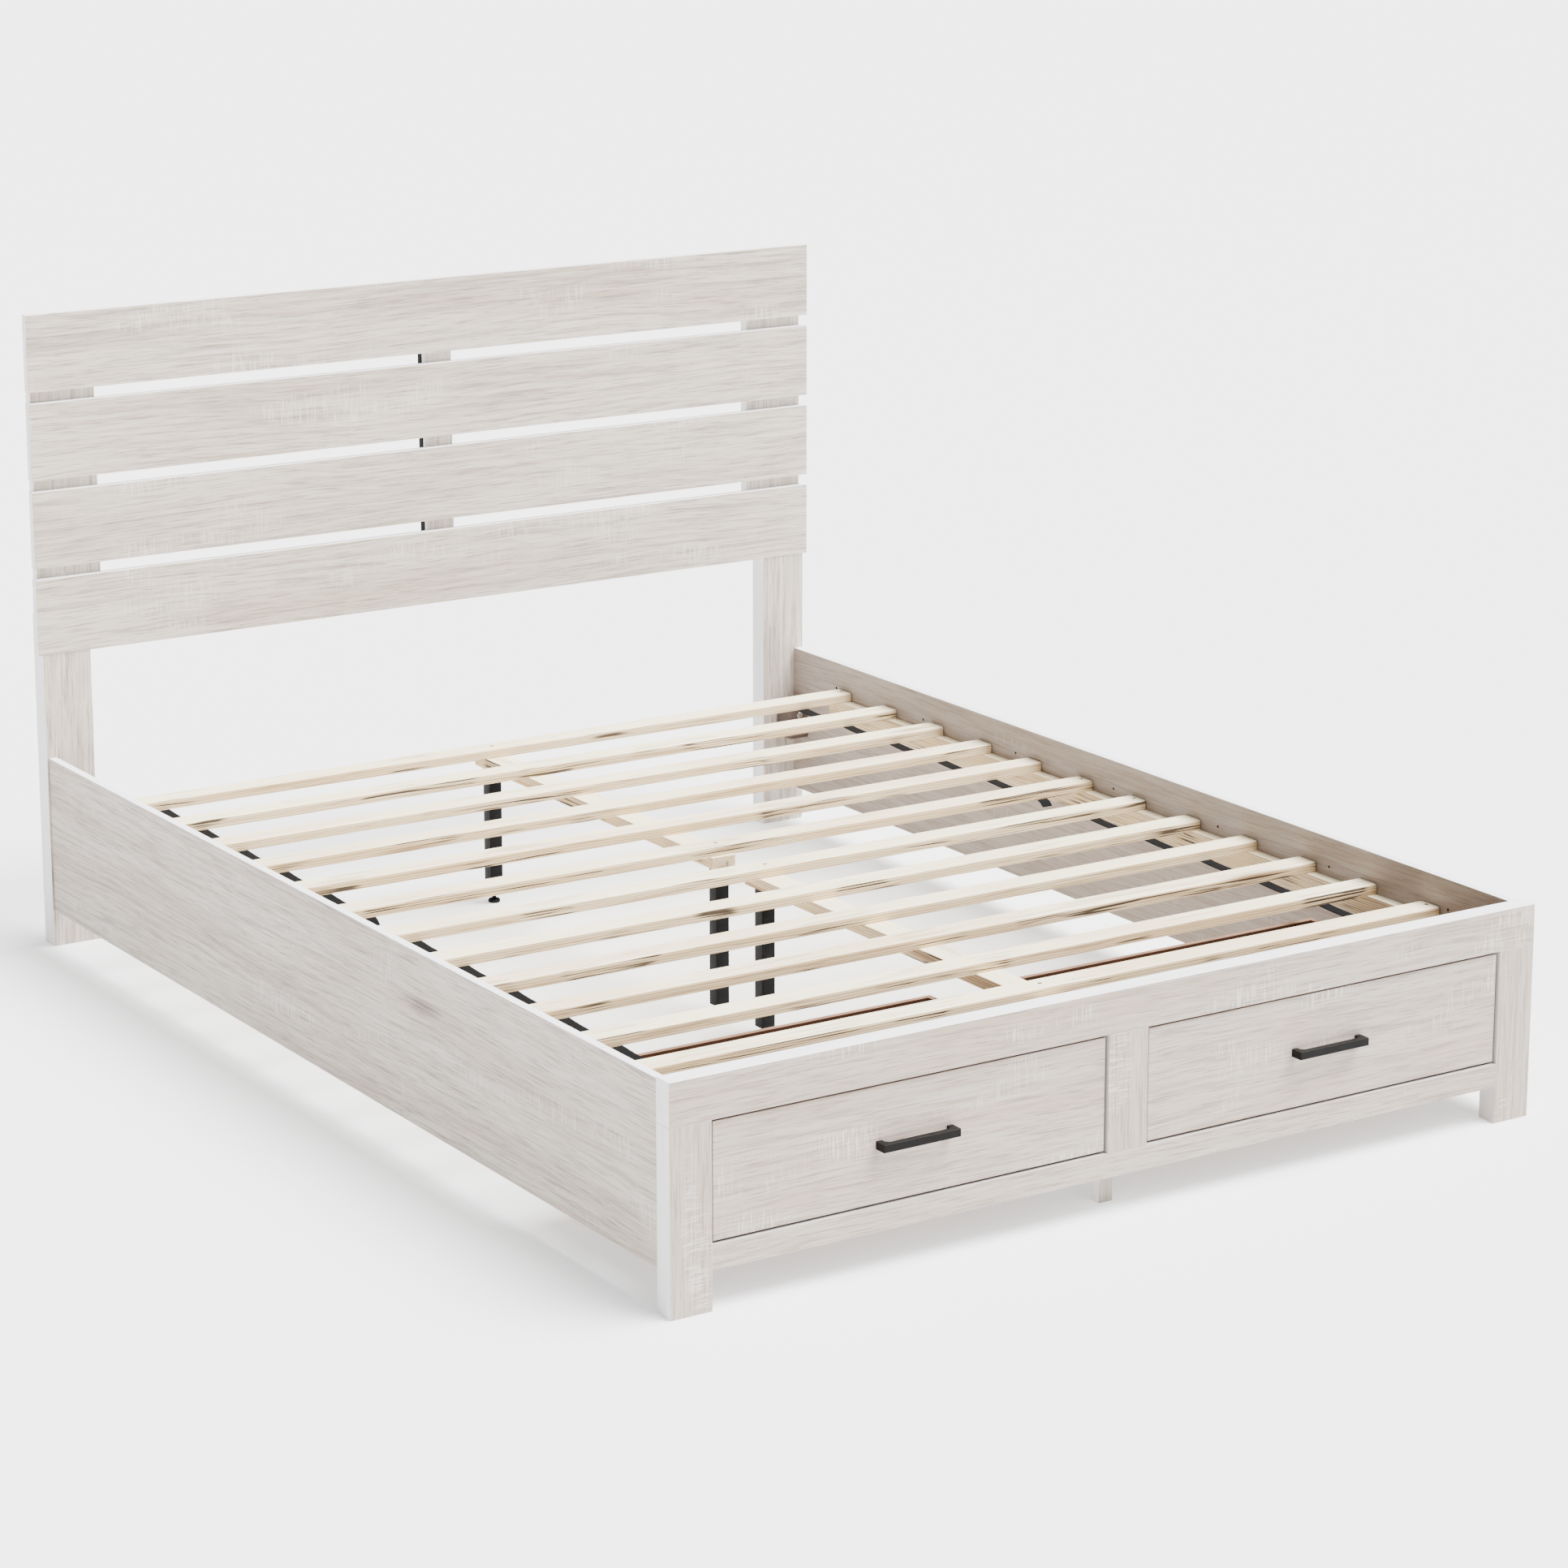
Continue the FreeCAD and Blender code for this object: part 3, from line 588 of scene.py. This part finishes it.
@dataclass
class Boards:
    """Finishes of the CAD nodes: laminated boards, slat base pine, drawers, metal and webbing."""

    finishes: Finishes
    width_grain: tuple = ("footboard_top_rail", "footboard_bottom_rail", "drawer_left_front",
                          "drawer_right_front", "headboard_plank_1", "headboard_plank_2",
                          "headboard_plank_3", "headboard_plank_4")
    upright_grain: tuple = ("headboard_leg_left", "headboard_leg_right", "headboard_batten_left",
                            "headboard_batten_centre", "headboard_batten_right", "footboard_leg_left",
                            "footboard_leg_right", "footboard_stile", "footboard_centre_foot")
    # The rails' inner faces get painted shade, for the shade inside the bed under the slats.
    rails: tuple = (("side_rail_left", RIGHT), ("side_rail_right", LEFT))
    # Faces round the drawer openings get painted shade, for the shadow lines in the gaps round the drawers.
    openings: dict = field(default_factory=lambda: {"footboard_top_rail": DOWN,
                                                    "footboard_bottom_rail": UP,
                                                    "footboard_stile": LEFT,
                                                    "footboard_leg_right": LEFT})
    lengthwise: tuple = ("slat_cleat_left", "slat_cleat_right", "centre_rail_head",
                         "centre_rail_foot", "drawer_runners")
    pilot_drop: float = 50 * MM
    pilot_reach: float = 4 * MM
    foot_pale: tuple = rgb(0.430, 0.375, 0.325)
    slats: int = 12

    def dress(self) -> None:
        """Gives every board its own piece of the print, and every stick its own pine."""
        seed = 0
        for nodes, grain in ((self.width_grain, Grain.WIDTH), (self.upright_grain, Grain.UPRIGHT)):
            for node in nodes:
                seed += 1
                # Boards round the drawer openings get painted shade on the faces that look into an opening.
                inner = self.openings.get(node, NO_DIRECTION)
                oak = WashedOak(grain, Face.FORWARD, seed, inner=inner)
                if node.startswith("drawer"):
                    # Drawer fronts' narrow faces: a dark brown edge with painted shade of the gaps.
                    oak = replace(oak, band=EDGE_WITH_GAP_SHADE)
                if not node.startswith("headboard"):
                    oak = replace(oak, pale=self.foot_pale)
                self.finishes.dress(node, oak.make(f"oak_{node}"))
        for node, inner in self.rails:
            seed += 1
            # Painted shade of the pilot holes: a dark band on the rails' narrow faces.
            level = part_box(node)[1].z - self.pilot_drop
            drilled = (level - self.pilot_reach, level + self.pilot_reach)
            oak = WashedOak(Grain.LENGTH, Face.SIDEWAYS, seed, inner=inner, drilled=drilled)
            self.finishes.dress(node, oak.make(f"oak_{node}"))
        for number in range(1, self.slats + 1):
            node = f"slat_{number:02d}"
            self.finishes.dress(node, Pine(Grain.WIDTH, number).make(f"pine_{node}"))
        for number, node in enumerate(self.lengthwise, self.slats + 1):
            self.finishes.dress(node, Pine(Grain.LENGTH, number).make(f"pine_{node}"))
        block = self.finishes.block.make("raw_board")
        for node in ("corner_blocks", "drawer_panels", "drawer_cross_beam"):
            self.finishes.dress(node, block)
        drawer = self.finishes.drawer.make("drawer_board")
        for side in ("left", "right"):
            for part in ("sides", "back", "bottom"):
                self.finishes.dress(f"drawer_{side}_{part}", drawer)
            self.finishes.dress(f"drawer_{side}_pull", self.finishes.pull)
            self.finishes.dress(f"drawer_{side}_pull_screws", self.finishes.zinc)
        for node in ("plank_screws", "corner_bolts", "slat_screws"):
            self.finishes.dress(node, self.finishes.zinc)
        self.finishes.dress("headboard_batten_strip", self.finishes.strip)
        self.finishes.dress("support_legs", self.finishes.powder)
        for node in ("leg_inserts", "levelling_glide_1", "levelling_glide_2", "levelling_glide_3"):
            self.finishes.dress(node, self.finishes.plastic)
        for node in ("slat_straps_head", "slat_straps_foot"):
            self.finishes.dress(node, self.finishes.webbing)


def pattern(shape: bmesh.types.BMesh, name: str) -> bpy.types.Mesh:
    """Turns a finished shape into a mesh that can be stamped or shown.

    Args:
        shape: The shape, which is used up.
        name: The mesh's name.

    Returns:
        The mesh, with its normals outward.
    """
    bmesh.ops.remove_doubles(shape, verts=shape.verts, dist=WELD)
    bmesh.ops.recalc_face_normals(shape, faces=shape.faces)
    mesh = bpy.data.meshes.new(name)
    shape.to_mesh(mesh)
    shape.free()
    return mesh


def stamp(shape: bmesh.types.BMesh, mesh: bpy.types.Mesh, place: Matrix) -> None:
    """Adds a copy of a mesh to a shape.

    Args:
        shape: The shape that gets the copy.
        mesh: The mesh to copy.
        place: Where the copy goes and which way it faces.
    """
    old = set(shape.verts)
    shape.from_mesh(mesh)
    bmesh.ops.transform(shape, matrix=place, verts=[v for v in shape.verts if v not in old])


def show(shape: bmesh.types.BMesh, name: str, material: bpy.types.Material, body: str,
         stands_for: Sequence[str] = ()) -> bpy.types.Object:
    """Makes the object of a finished shape.

    Args:
        shape: The shape, in row coordinates.
        name: The object's name.
        material: Its finish.
        body: The body that it moves with.
        stands_for: The CAD nodes that it replaces.

    Returns:
        The object.
    """
    mesh = pattern(shape, name)
    mesh.materials.append(material)
    mesh.polygons.foreach_set("use_smooth", [True] * len(mesh.polygons))
    mesh.set_sharp_from_angle(angle=math.radians(CREASE_DEGREES))
    piece = bpy.data.objects.new(name, mesh)
    bpy.context.scene.collection.objects.link(piece)
    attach(piece, body)
    if stands_for:
        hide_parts(*stands_for)
    LOG.info("%s: %d faces on %s", name, len(mesh.polygons), body)
    return piece


def rise(edge: bmesh.types.BMEdge) -> float:
    """The height between an edge's ends."""
    return abs(edge.verts[0].co.z - edge.verts[1].co.z)


def draw_out(shape: bmesh.types.BMesh, edges: Iterable, rings: Sequence[tuple[float, float]]) -> None:
    """Draws an edge loop round Z out through rings, and closes it at the last.

    Args:
        shape: The shape that owns the loop.
        edges: The loop.
        rings: Radius and height of each ring.
    """
    loop = list(edges)
    for radius, height in rings:
        grown = bmesh.ops.extrude_edge_only(shape, edges=loop)["geom"]
        for vertex in (item for item in grown if isinstance(item, bmesh.types.BMVert)):
            across = Vector((vertex.co.x, vertex.co.y, 0.0)).normalized() * radius
            vertex.co = (across.x, across.y, height)
        drawn = [item for item in grown if isinstance(item, bmesh.types.BMEdge)]
        loop = [edge for edge in drawn if edge.is_boundary and rise(edge) < LEVEL]
    bmesh.ops.contextual_create(shape, geom=loop)


def middle(node: str) -> Vector:
    """The centre of a CAD node's box."""
    low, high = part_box(node)
    return (low + high) / 2


@dataclass
class Fasteners:
    """Cross-head screws for slats, planks, pulls and leg plates, and the blocks' socket-head bolts."""

    finishes: Finishes
    head_radius: float = 4.0 * MM
    shank_radius: float = 1.9 * MM
    head_height: float = 2.0 * MM
    recess: float = 1.5 * MM
    cells: int = 7
    key_radius: float = 2.9 * MM
    bolt_radius: float = 6.0 * MM
    bolt_rise: float = 3.5 * MM
    bolt_inset: float = 16.0 * MM
    bolt_length: float = 66 * MM
    bolt_shank: float = 3 * MM
    block_depth: float = 48 * MM
    panel_gap: float = 0.5 * MM
    plank_spread: float = 22.4 * MM
    plank_bite: float = 8 * MM
    slat_length: float = 30 * MM
    pull_length: float = 22 * MM
    pull_post: float = 5 * MM
    sink: float = 0.1 * MM
    screwed_slats: tuple = (1, 6, 7, 12)

    def cross_head(self, length: float) -> bpy.types.Mesh:
        """A countersunk screw, its head's face at the origin and looking up.

        Args:
            length: From the face to the tip.

        Returns:
            Its mesh.
        """
        shape = bmesh.new()
        bmesh.ops.create_grid(shape, x_segments=self.cells, y_segments=self.cells, size=self.head_radius)
        cell = 2 * self.head_radius / self.cells
        slots = []
        for face in shape.faces:
            x, y = (abs(value) for value in face.calc_center_median()[:2])
            if min(x, y) < cell / 2 and max(x, y) < cell * 2.2:
                slots.append(face)
        for vertex in shape.verts:
            reach = vertex.co.length
            if reach:
                vertex.co *= max(abs(vertex.co.x), abs(vertex.co.y)) / reach
        bmesh.ops.inset_region(shape, faces=slots, thickness=0.12 * MM, depth=-self.recess)
        rim = [edge for edge in shape.edges if edge.is_boundary]
        draw_out(shape, rim, [(self.head_radius, -0.25 * MM), (self.shank_radius, -self.head_height),
                              (self.shank_radius, -length + 3 * MM), (0.4 * MM, -length)])
        return pattern(shape, "cross_head")

    def socket_head(self, length: float) -> bpy.types.Mesh:
        """A bolt with a hexagon socket, the underside of its head at the origin.

        Args:
            length: From under the head to the tip.

        Returns:
            Its mesh.
        """
        shape = bmesh.new()
        lift = Matrix.Translation((0.0, 0.0, self.bolt_rise))
        outer = bmesh.ops.create_circle(shape, segments=24, radius=self.bolt_radius - 0.8 * MM, matrix=lift)
        inner = bmesh.ops.create_circle(shape, segments=6, radius=self.key_radius, matrix=lift)
        rim = list({edge for vertex in outer["verts"] for edge in vertex.link_edges})
        key = list({edge for vertex in inner["verts"] for edge in vertex.link_edges})
        bmesh.ops.bridge_loops(shape, edges=rim + key)
        draw_out(shape, key, [(self.key_radius * 0.97, self.bolt_rise - 2.2 * MM)])
        draw_out(shape, rim, [(self.bolt_radius, self.bolt_rise - 0.8 * MM), (self.bolt_radius, 0.0),
                              (self.bolt_shank, 0.0), (self.bolt_shank, -length)])
        return pattern(shape, "socket_head")

    def slat_screws(self) -> None:
        """Three screws in the end slats of each roll: over both cleats and over the centre rail."""
        screw = self.cross_head(self.slat_length)
        shape = bmesh.new()
        across = (middle("slat_cleat_left").x, 0.0, middle("slat_cleat_right").x)
        for number in self.screwed_slats:
            node = f"slat_{number:02d}"
            for turn, x in enumerate(across, number):
                place = Matrix.Translation((x, middle(node).y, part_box(node)[1].z - self.sink))
                stamp(shape, screw, place @ Matrix.Rotation(turn * 0.7, 4, "Z"))
        show(shape, "slat_screws_cross_head", self.finishes.zinc, BED, ["slat_screws"])

    def plank_screws(self) -> None:
        """Two screws from the back through each upright into each plank."""
        shape = bmesh.new()
        meshes = {}
        for upright in ("left", "centre", "right"):
            for number in range(1, 5):
                on_leg = number == 4 and upright != "centre"
                post = f"headboard_leg_{upright}" if on_leg else f"headboard_batten_{upright}"
                plank = f"headboard_plank_{number}"
                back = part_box(post)[1].y
                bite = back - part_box(plank)[1].y + self.plank_bite
                screw = meshes.setdefault(round(bite, 5), self.cross_head(bite))
                tongue = (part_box(plank)[0].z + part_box(post)[1].z) / 2
                level = tongue if on_leg else middle(plank).z
                for away in (-1, 1):
                    height = level + away * self.plank_spread
                    place = Matrix.Translation((middle(post).x, back - self.sink, height))
                    spin = Matrix.Rotation(number + away * 0.4, 4, "Z")
                    stamp(shape, screw, place @ Matrix.Rotation(-math.pi / 2, 4, "X") @ spin)
        show(shape, "plank_screws_cross_head", self.finishes.zinc, BED, ["plank_screws"])

    def pull_screws(self) -> None:
        """Two screws from inside each drawer front into the posts of its pull."""
        screw = self.cross_head(self.pull_length)
        for side in ("left", "right"):
            shape = bmesh.new()
            pull = f"drawer_{side}_pull"
            low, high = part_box(pull)
            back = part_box(f"drawer_{side}_front")[1].y
            for turn, x in enumerate((low.x + self.pull_post, high.x - self.pull_post)):
                place = Matrix.Translation((x, back - self.sink, middle(pull).z))
                spin = Matrix.Rotation(turn, 4, "Z")
                stamp(shape, screw, place @ Matrix.Rotation(-math.pi / 2, 4, "X") @ spin)
            show(shape, f"{pull}_screws_cross_head", self.finishes.zinc, f"drawer_{side}",
                 [f"{pull}_screws"])

    def corner_bolts(self) -> None:
        """Two bolts through each corner block, their heads towards the middle of the bed."""
        bolt = self.socket_head(self.bolt_length)
        shape = bmesh.new()
        low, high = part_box("corner_blocks")
        width = high.x - abs(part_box("drawer_panels")[1].x) - self.panel_gap
        across = high.x - width / 2
        ends = ((low.y + self.block_depth, -math.pi / 2), (high.y - self.block_depth, math.pi / 2))
        for y, turn in ends:
            for x in (-across, across):
                for z in (low.z + self.bolt_inset, high.z - self.bolt_inset):
                    stamp(shape, bolt, Matrix.Translation((x, y, z)) @ Matrix.Rotation(turn, 4, "X"))
        show(shape, "corner_bolts_socket_head", self.finishes.zinc, BED, ["corner_bolts"])

    def make(self) -> None:
        """Makes every screw and bolt."""
        self.slat_screws()
        self.plank_screws()
        self.pull_screws()
        self.corner_bolts()


@dataclass
class SlatWebbing:
    """Two black straps under each roll of slats, stapled to every slat and slack between them."""

    finishes: Finishes
    thickness: float = 1.4 * MM
    slack: float = 2.4 * MM
    tail: float = 14 * MM
    width: float = 20 * MM
    steps: int = 6
    staple_width: float = 11 * MM
    staple_wire: float = 1.2 * MM
    staple_round: float = 0.25 * MM
    rolls: tuple = (("head", (6, 5, 4, 3, 2, 1)), ("foot", (12, 11, 10, 9, 8, 7)))

    def path(self, slats: Sequence[int]) -> list[tuple[float, float]]:
        """Places along one strap, from the foot end to the head end.

        Args:
            slats: The roll's slat numbers in that order.

        Returns:
            The place along Y and the height of the strap's upper face.
        """
        points = []
        for here in slats:
            low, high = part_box(f"slat_{here:02d}")
            if points:
                last = points[-1][0]
                for step in range(1, self.steps):
                    share = step / self.steps
                    drop = 4 * share * (1 - share) * self.slack
                    points.append((last + (low.y - last) * share, low.z - drop))
            else:
                points.append((low.y - self.tail, low.z - 9 * MM))
                points.append((low.y - self.tail * 0.45, low.z - 3 * MM))
            points += [(low.y + 1 * MM, low.z), (high.y - 1 * MM, low.z)]
        points.append((points[-1][0] + 5 * MM, points[-1][1] - 1 * MM))
        return points

    def strap(self, shape: bmesh.types.BMesh, left: float, right: float,
              slats: Sequence[int]) -> None:
        """One strap of a roll.

        Args:
            shape: The shape that gets the strap.
            left: Its left edge along X.
            right: Its right edge along X.
            slats: The roll's slat numbers, from the foot end to the head end.
        """
        path = self.path(slats)
        (y, z), rest = path[0], path[1:]
        ends = [shape.verts.new((x, y, z)) for x in (left, right)]
        edge = shape.edges.new(ends)
        faces = []
        for step_y, step_z in rest:
            grown = bmesh.ops.extrude_edge_only(shape, edges=[edge])["geom"]
            fresh = [item for item in grown if isinstance(item, bmesh.types.BMVert)]
            bmesh.ops.translate(shape, vec=(0.0, step_y - y, step_z - z), verts=fresh)
            edge = next(item for item in grown if isinstance(item, bmesh.types.BMEdge) and all(
                end in fresh for end in item.verts))
            faces += [item for item in grown if isinstance(item, bmesh.types.BMFace)]
            y, z = step_y, step_z
        body = bmesh.ops.extrude_face_region(shape, geom=faces, use_keep_orig=True)["geom"]
        under = [item for item in body if isinstance(item, bmesh.types.BMVert)]
        bmesh.ops.translate(shape, vec=(0.0, 0.0, -self.thickness), verts=under)

    def staples(self, shape: bmesh.types.BMesh, x: float, slats: Sequence[int]) -> None:
        """Two staples for each crossing of a strap and a slat.

        Args:
            shape: The shape that gets the staples.
            x: The strap's centre line.
            slats: The roll's slat numbers.
        """
        for here in slats:
            low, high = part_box(f"slat_{here:02d}")
            for share in (0.3, 0.7):
                place = Vector((x, low.y + (high.y - low.y) * share, low.z - self.thickness - 0.3 * MM))
                size = Matrix.Diagonal((self.staple_width, self.staple_wire, self.staple_wire * 0.7, 1.0))
                crown = bmesh.ops.create_cube(shape, size=1.0, matrix=Matrix.Translation(place) @ size)
                edges = list({edge for vertex in crown["verts"] for edge in vertex.link_edges})
                bmesh.ops.bevel(shape, geom=edges, offset=self.staple_round, affect="EDGES",
                                segments=2, profile=0.5, material=-1)

    def make(self) -> None:
        """Makes the straps of both rolls and their staples."""
        wire = bmesh.new()
        for roll, slats in self.rolls:
            node = f"slat_straps_{roll}"
            low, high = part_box(node)
            shape = bmesh.new()
            for left in (low.x, high.x - self.width):
                self.strap(shape, left, left + self.width, slats)
                self.staples(wire, left + self.width / 2, slats)
            show(shape, f"{node}_woven", self.finishes.webbing, BED, [node])
        show(wire, "strap_staples", self.finishes.zinc, BED)


@dataclass
class SupportLegs:
    """Three square steel legs with screwed top plates, and their threaded levelling glides."""

    finishes: Finishes
    fasteners: Fasteners
    wall: float = 1.5 * MM
    side: float = 25 * MM
    corner: float = 2.2 * MM
    plate_length: float = 70 * MM
    plate_thickness: float = 2 * MM
    plate_corner: float = 5 * MM
    screw_length: float = 18 * MM
    screw_sink: float = 0.8 * MM
    foot_height: float = 7 * MM
    stem_radius: float = 4 * MM
    screw_reach: float = 27 * MM
    thread_pitch: float = 1.25 * MM
    thread_depth: float = 0.55 * MM

    def tube(self, y: float, low: float, high: float) -> bpy.types.Mesh:
        """One rounded square tube, open at both ends.

        Args:
            y: Its place along the bed.
            low: Its lower end.
            high: Its upper end.

        Returns:
            Its mesh.
        """
        shape = bmesh.new()
        size = Matrix.Diagonal((self.side, self.side, high - low, 1.0))
        place = Matrix.Translation((0.0, y, (low + high) / 2))
        bmesh.ops.create_cube(shape, size=1.0, matrix=place @ size)
        upright = [edge for edge in shape.edges if rise(edge) > self.side]
        bmesh.ops.bevel(shape, geom=upright, offset=self.corner, affect="EDGES", segments=4,
                        profile=0.5, material=-1)
        shape.normal_update()
        ends = [face for face in shape.faces if abs(face.normal.z) > 0.9]
        bmesh.ops.delete(shape, geom=ends, context="FACES_ONLY")
        bmesh.ops.recalc_face_normals(shape, faces=shape.faces)
        bmesh.ops.solidify(shape, geom=shape.faces[:], thickness=self.wall)
        return pattern(shape, "tube")

    def plate(self, y: float, low: float) -> bpy.types.Mesh:
        """One top plate with round corners.

        Args:
            y: Its place along the bed.
            low: Its lower face.

        Returns:
            Its mesh.
        """
        shape = bmesh.new()
        size = Matrix.Diagonal((self.side, self.plate_length, self.plate_thickness, 1.0))
        place = Matrix.Translation((0.0, y, low + self.plate_thickness / 2))
        bmesh.ops.create_cube(shape, size=1.0, matrix=place @ size)
        upright = [edge for edge in shape.edges if rise(edge) > MM]
        bmesh.ops.bevel(shape, geom=upright, offset=self.plate_corner, affect="EDGES", segments=4,
                        profile=0.5, material=-1)
        return pattern(shape, "plate")

    def legs(self) -> None:
        """The three legs with the screws of their plates."""
        low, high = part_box("support_legs")
        top = high.z - self.plate_thickness
        steel = bmesh.new()
        screws = bmesh.new()
        screw = self.fasteners.cross_head(self.screw_length)
        for number in (1, 2, 3):
            y = middle(f"levelling_glide_{number}").y
            stamp(steel, self.tube(y, low.z, top), Matrix.Identity(4))
            stamp(steel, self.plate(y, top), Matrix.Identity(4))
            for away in (-1, 1):
                place = Matrix.Translation((0.0, y + away * self.screw_reach, top - self.screw_sink))
                stamp(screws, screw, place @ Matrix.Rotation(math.pi, 4, "X"))
        show(steel, "support_legs_rounded", self.finishes.powder, BED, ["support_legs"])
        show(screws, "leg_plate_screws", self.finishes.zinc, BED)

    def glide(self, number: int) -> None:
        """One glide: a moulded foot on a threaded stem.

        Args:
            number: Its number, counted as the CAD nodes are.
        """
        node = f"levelling_glide_{number}"
        low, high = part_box(node)
        foot_radius = (high.x - low.x) / 2
        foot_top = self.foot_height
        stem = self.stem_radius
        rings = [(stem - self.thread_depth, high.z - 0.6 * MM)]
        height = high.z - 1.0 * MM
        while height - self.thread_pitch > foot_top + 1 * MM:
            rings += [(stem, height - self.thread_pitch * 0.5),
                      (stem - self.thread_depth, height - self.thread_pitch)]
            height -= self.thread_pitch
        rings += [(stem - self.thread_depth, foot_top), (foot_radius * 0.72, foot_top),
                  (foot_radius * 0.90, foot_top - 0.8 * MM), (foot_radius, foot_top - 2.6 * MM),
                  (foot_radius, low.z + 1.2 * MM), (foot_radius - 1.0 * MM, low.z)]
        shape = bmesh.new()
        lift = Matrix.Translation((0.0, 0.0, high.z))
        tip = stem - self.thread_depth - 0.5 * MM
        bmesh.ops.create_circle(shape, cap_ends=True, segments=28, radius=tip, matrix=lift)
        draw_out(shape, shape.edges[:], rings)
        bmesh.ops.translate(shape, vec=(0.0, middle(node).y, 0.0), verts=shape.verts)
        show(shape, f"{node}_threaded", self.finishes.plastic, f"glide_{number}", [node])

    def make(self) -> None:
        """Makes the legs and their glides."""
        self.legs()
        for number in (1, 2, 3):
            self.glide(number)


@dataclass
class Studio:
    """Camera, lights and floor."""

    eye: tuple = (-3.744, -5.924, 2.300)
    tilt_degrees: float = -13.30
    turn_degrees: float = -32.84
    lens: float = 101.05
    rise: float = -0.0859
    floor_reach: float = 60.0

    def build(self) -> None:
        """Sets the camera, the light and the floor."""
        data = bpy.data.cameras.new("camera")
        data.lens = self.lens
        data.sensor_width = 36.0
        data.shift_y = self.rise
        data.clip_end = 200.0
        camera = bpy.data.objects.new("camera", data)
        camera.location = self.eye
        camera.rotation_euler = (math.radians(90 + self.tilt_degrees), 0.0, math.radians(self.turn_degrees))
        bpy.context.scene.collection.objects.link(camera)
        bpy.context.scene.camera = camera
        self.light("key", (0.40, -0.30, 1.0), 15.5, 40.0)
        self.light("front", (0.10, -1.0, 0.30), 1.4, 70.0)
        self.sky()
        self.floor()

    @staticmethod
    def light(name: str, direction: tuple, power: float, softness: float) -> None:
        """A soft sun that shines from a direction.

        Args:
            name: The lamp's name.
            direction: Where it shines from.
            power: Its strength.
            softness: Its width in degrees.
        """
        data = bpy.data.lights.new(name, "SUN")
        data.energy = power
        data.angle = math.radians(softness)
        lamp = bpy.data.objects.new(name, data)
        lamp.rotation_euler = Vector(direction).to_track_quat("Z", "Y").to_euler()
        bpy.context.scene.collection.objects.link(lamp)

    @staticmethod
    def sky() -> None:
        """A plain white surround."""
        world = bpy.data.worlds.new("studio")
        world.use_nodes = True
        background = next(n for n in world.node_tree.nodes if n.type == "BACKGROUND")
        background.inputs["Color"].default_value = rgb(1.0, 1.0, 1.0)
        background.inputs["Strength"].default_value = 0.6
        bpy.context.scene.world = world

    def floor(self) -> None:
        """A pale floor well past the picture's edges."""
        grid = bmesh.new()
        bmesh.ops.create_grid(grid, x_segments=1, y_segments=1, size=self.floor_reach)
        mesh = bpy.data.meshes.new("floor")
        grid.to_mesh(mesh)
        grid.free()
        ground = bpy.data.objects.new("floor", mesh)
        sheet = Sheet("floor_paint")
        sheet.constants(Roughness=0.9, Specular_IOR_Level=0.1)
        sheet.surface.inputs["Base Color"].default_value = rgb(0.74, 0.74, 0.74)
        sheet.surface.inputs["Emission Color"].default_value = rgb(1.0, 1.0, 1.0)
        sheet.surface.inputs["Emission Strength"].default_value = 0.8
        mesh.materials.append(sheet.material)
        bpy.context.scene.collection.objects.link(ground)


def main() -> None:
    """Builds the looks in order and reports each group."""
    logging.basicConfig(level=logging.INFO)
    finishes = Finishes()
    Boards(finishes).dress()
    LOG.info("boards dressed")
    fasteners = Fasteners(finishes)
    fasteners.make()
    SlatWebbing(finishes).make()
    SupportLegs(finishes, fasteners).make()
    Studio().build()
    LOG.info("studio set")


if __name__ == "__main__":
    main()
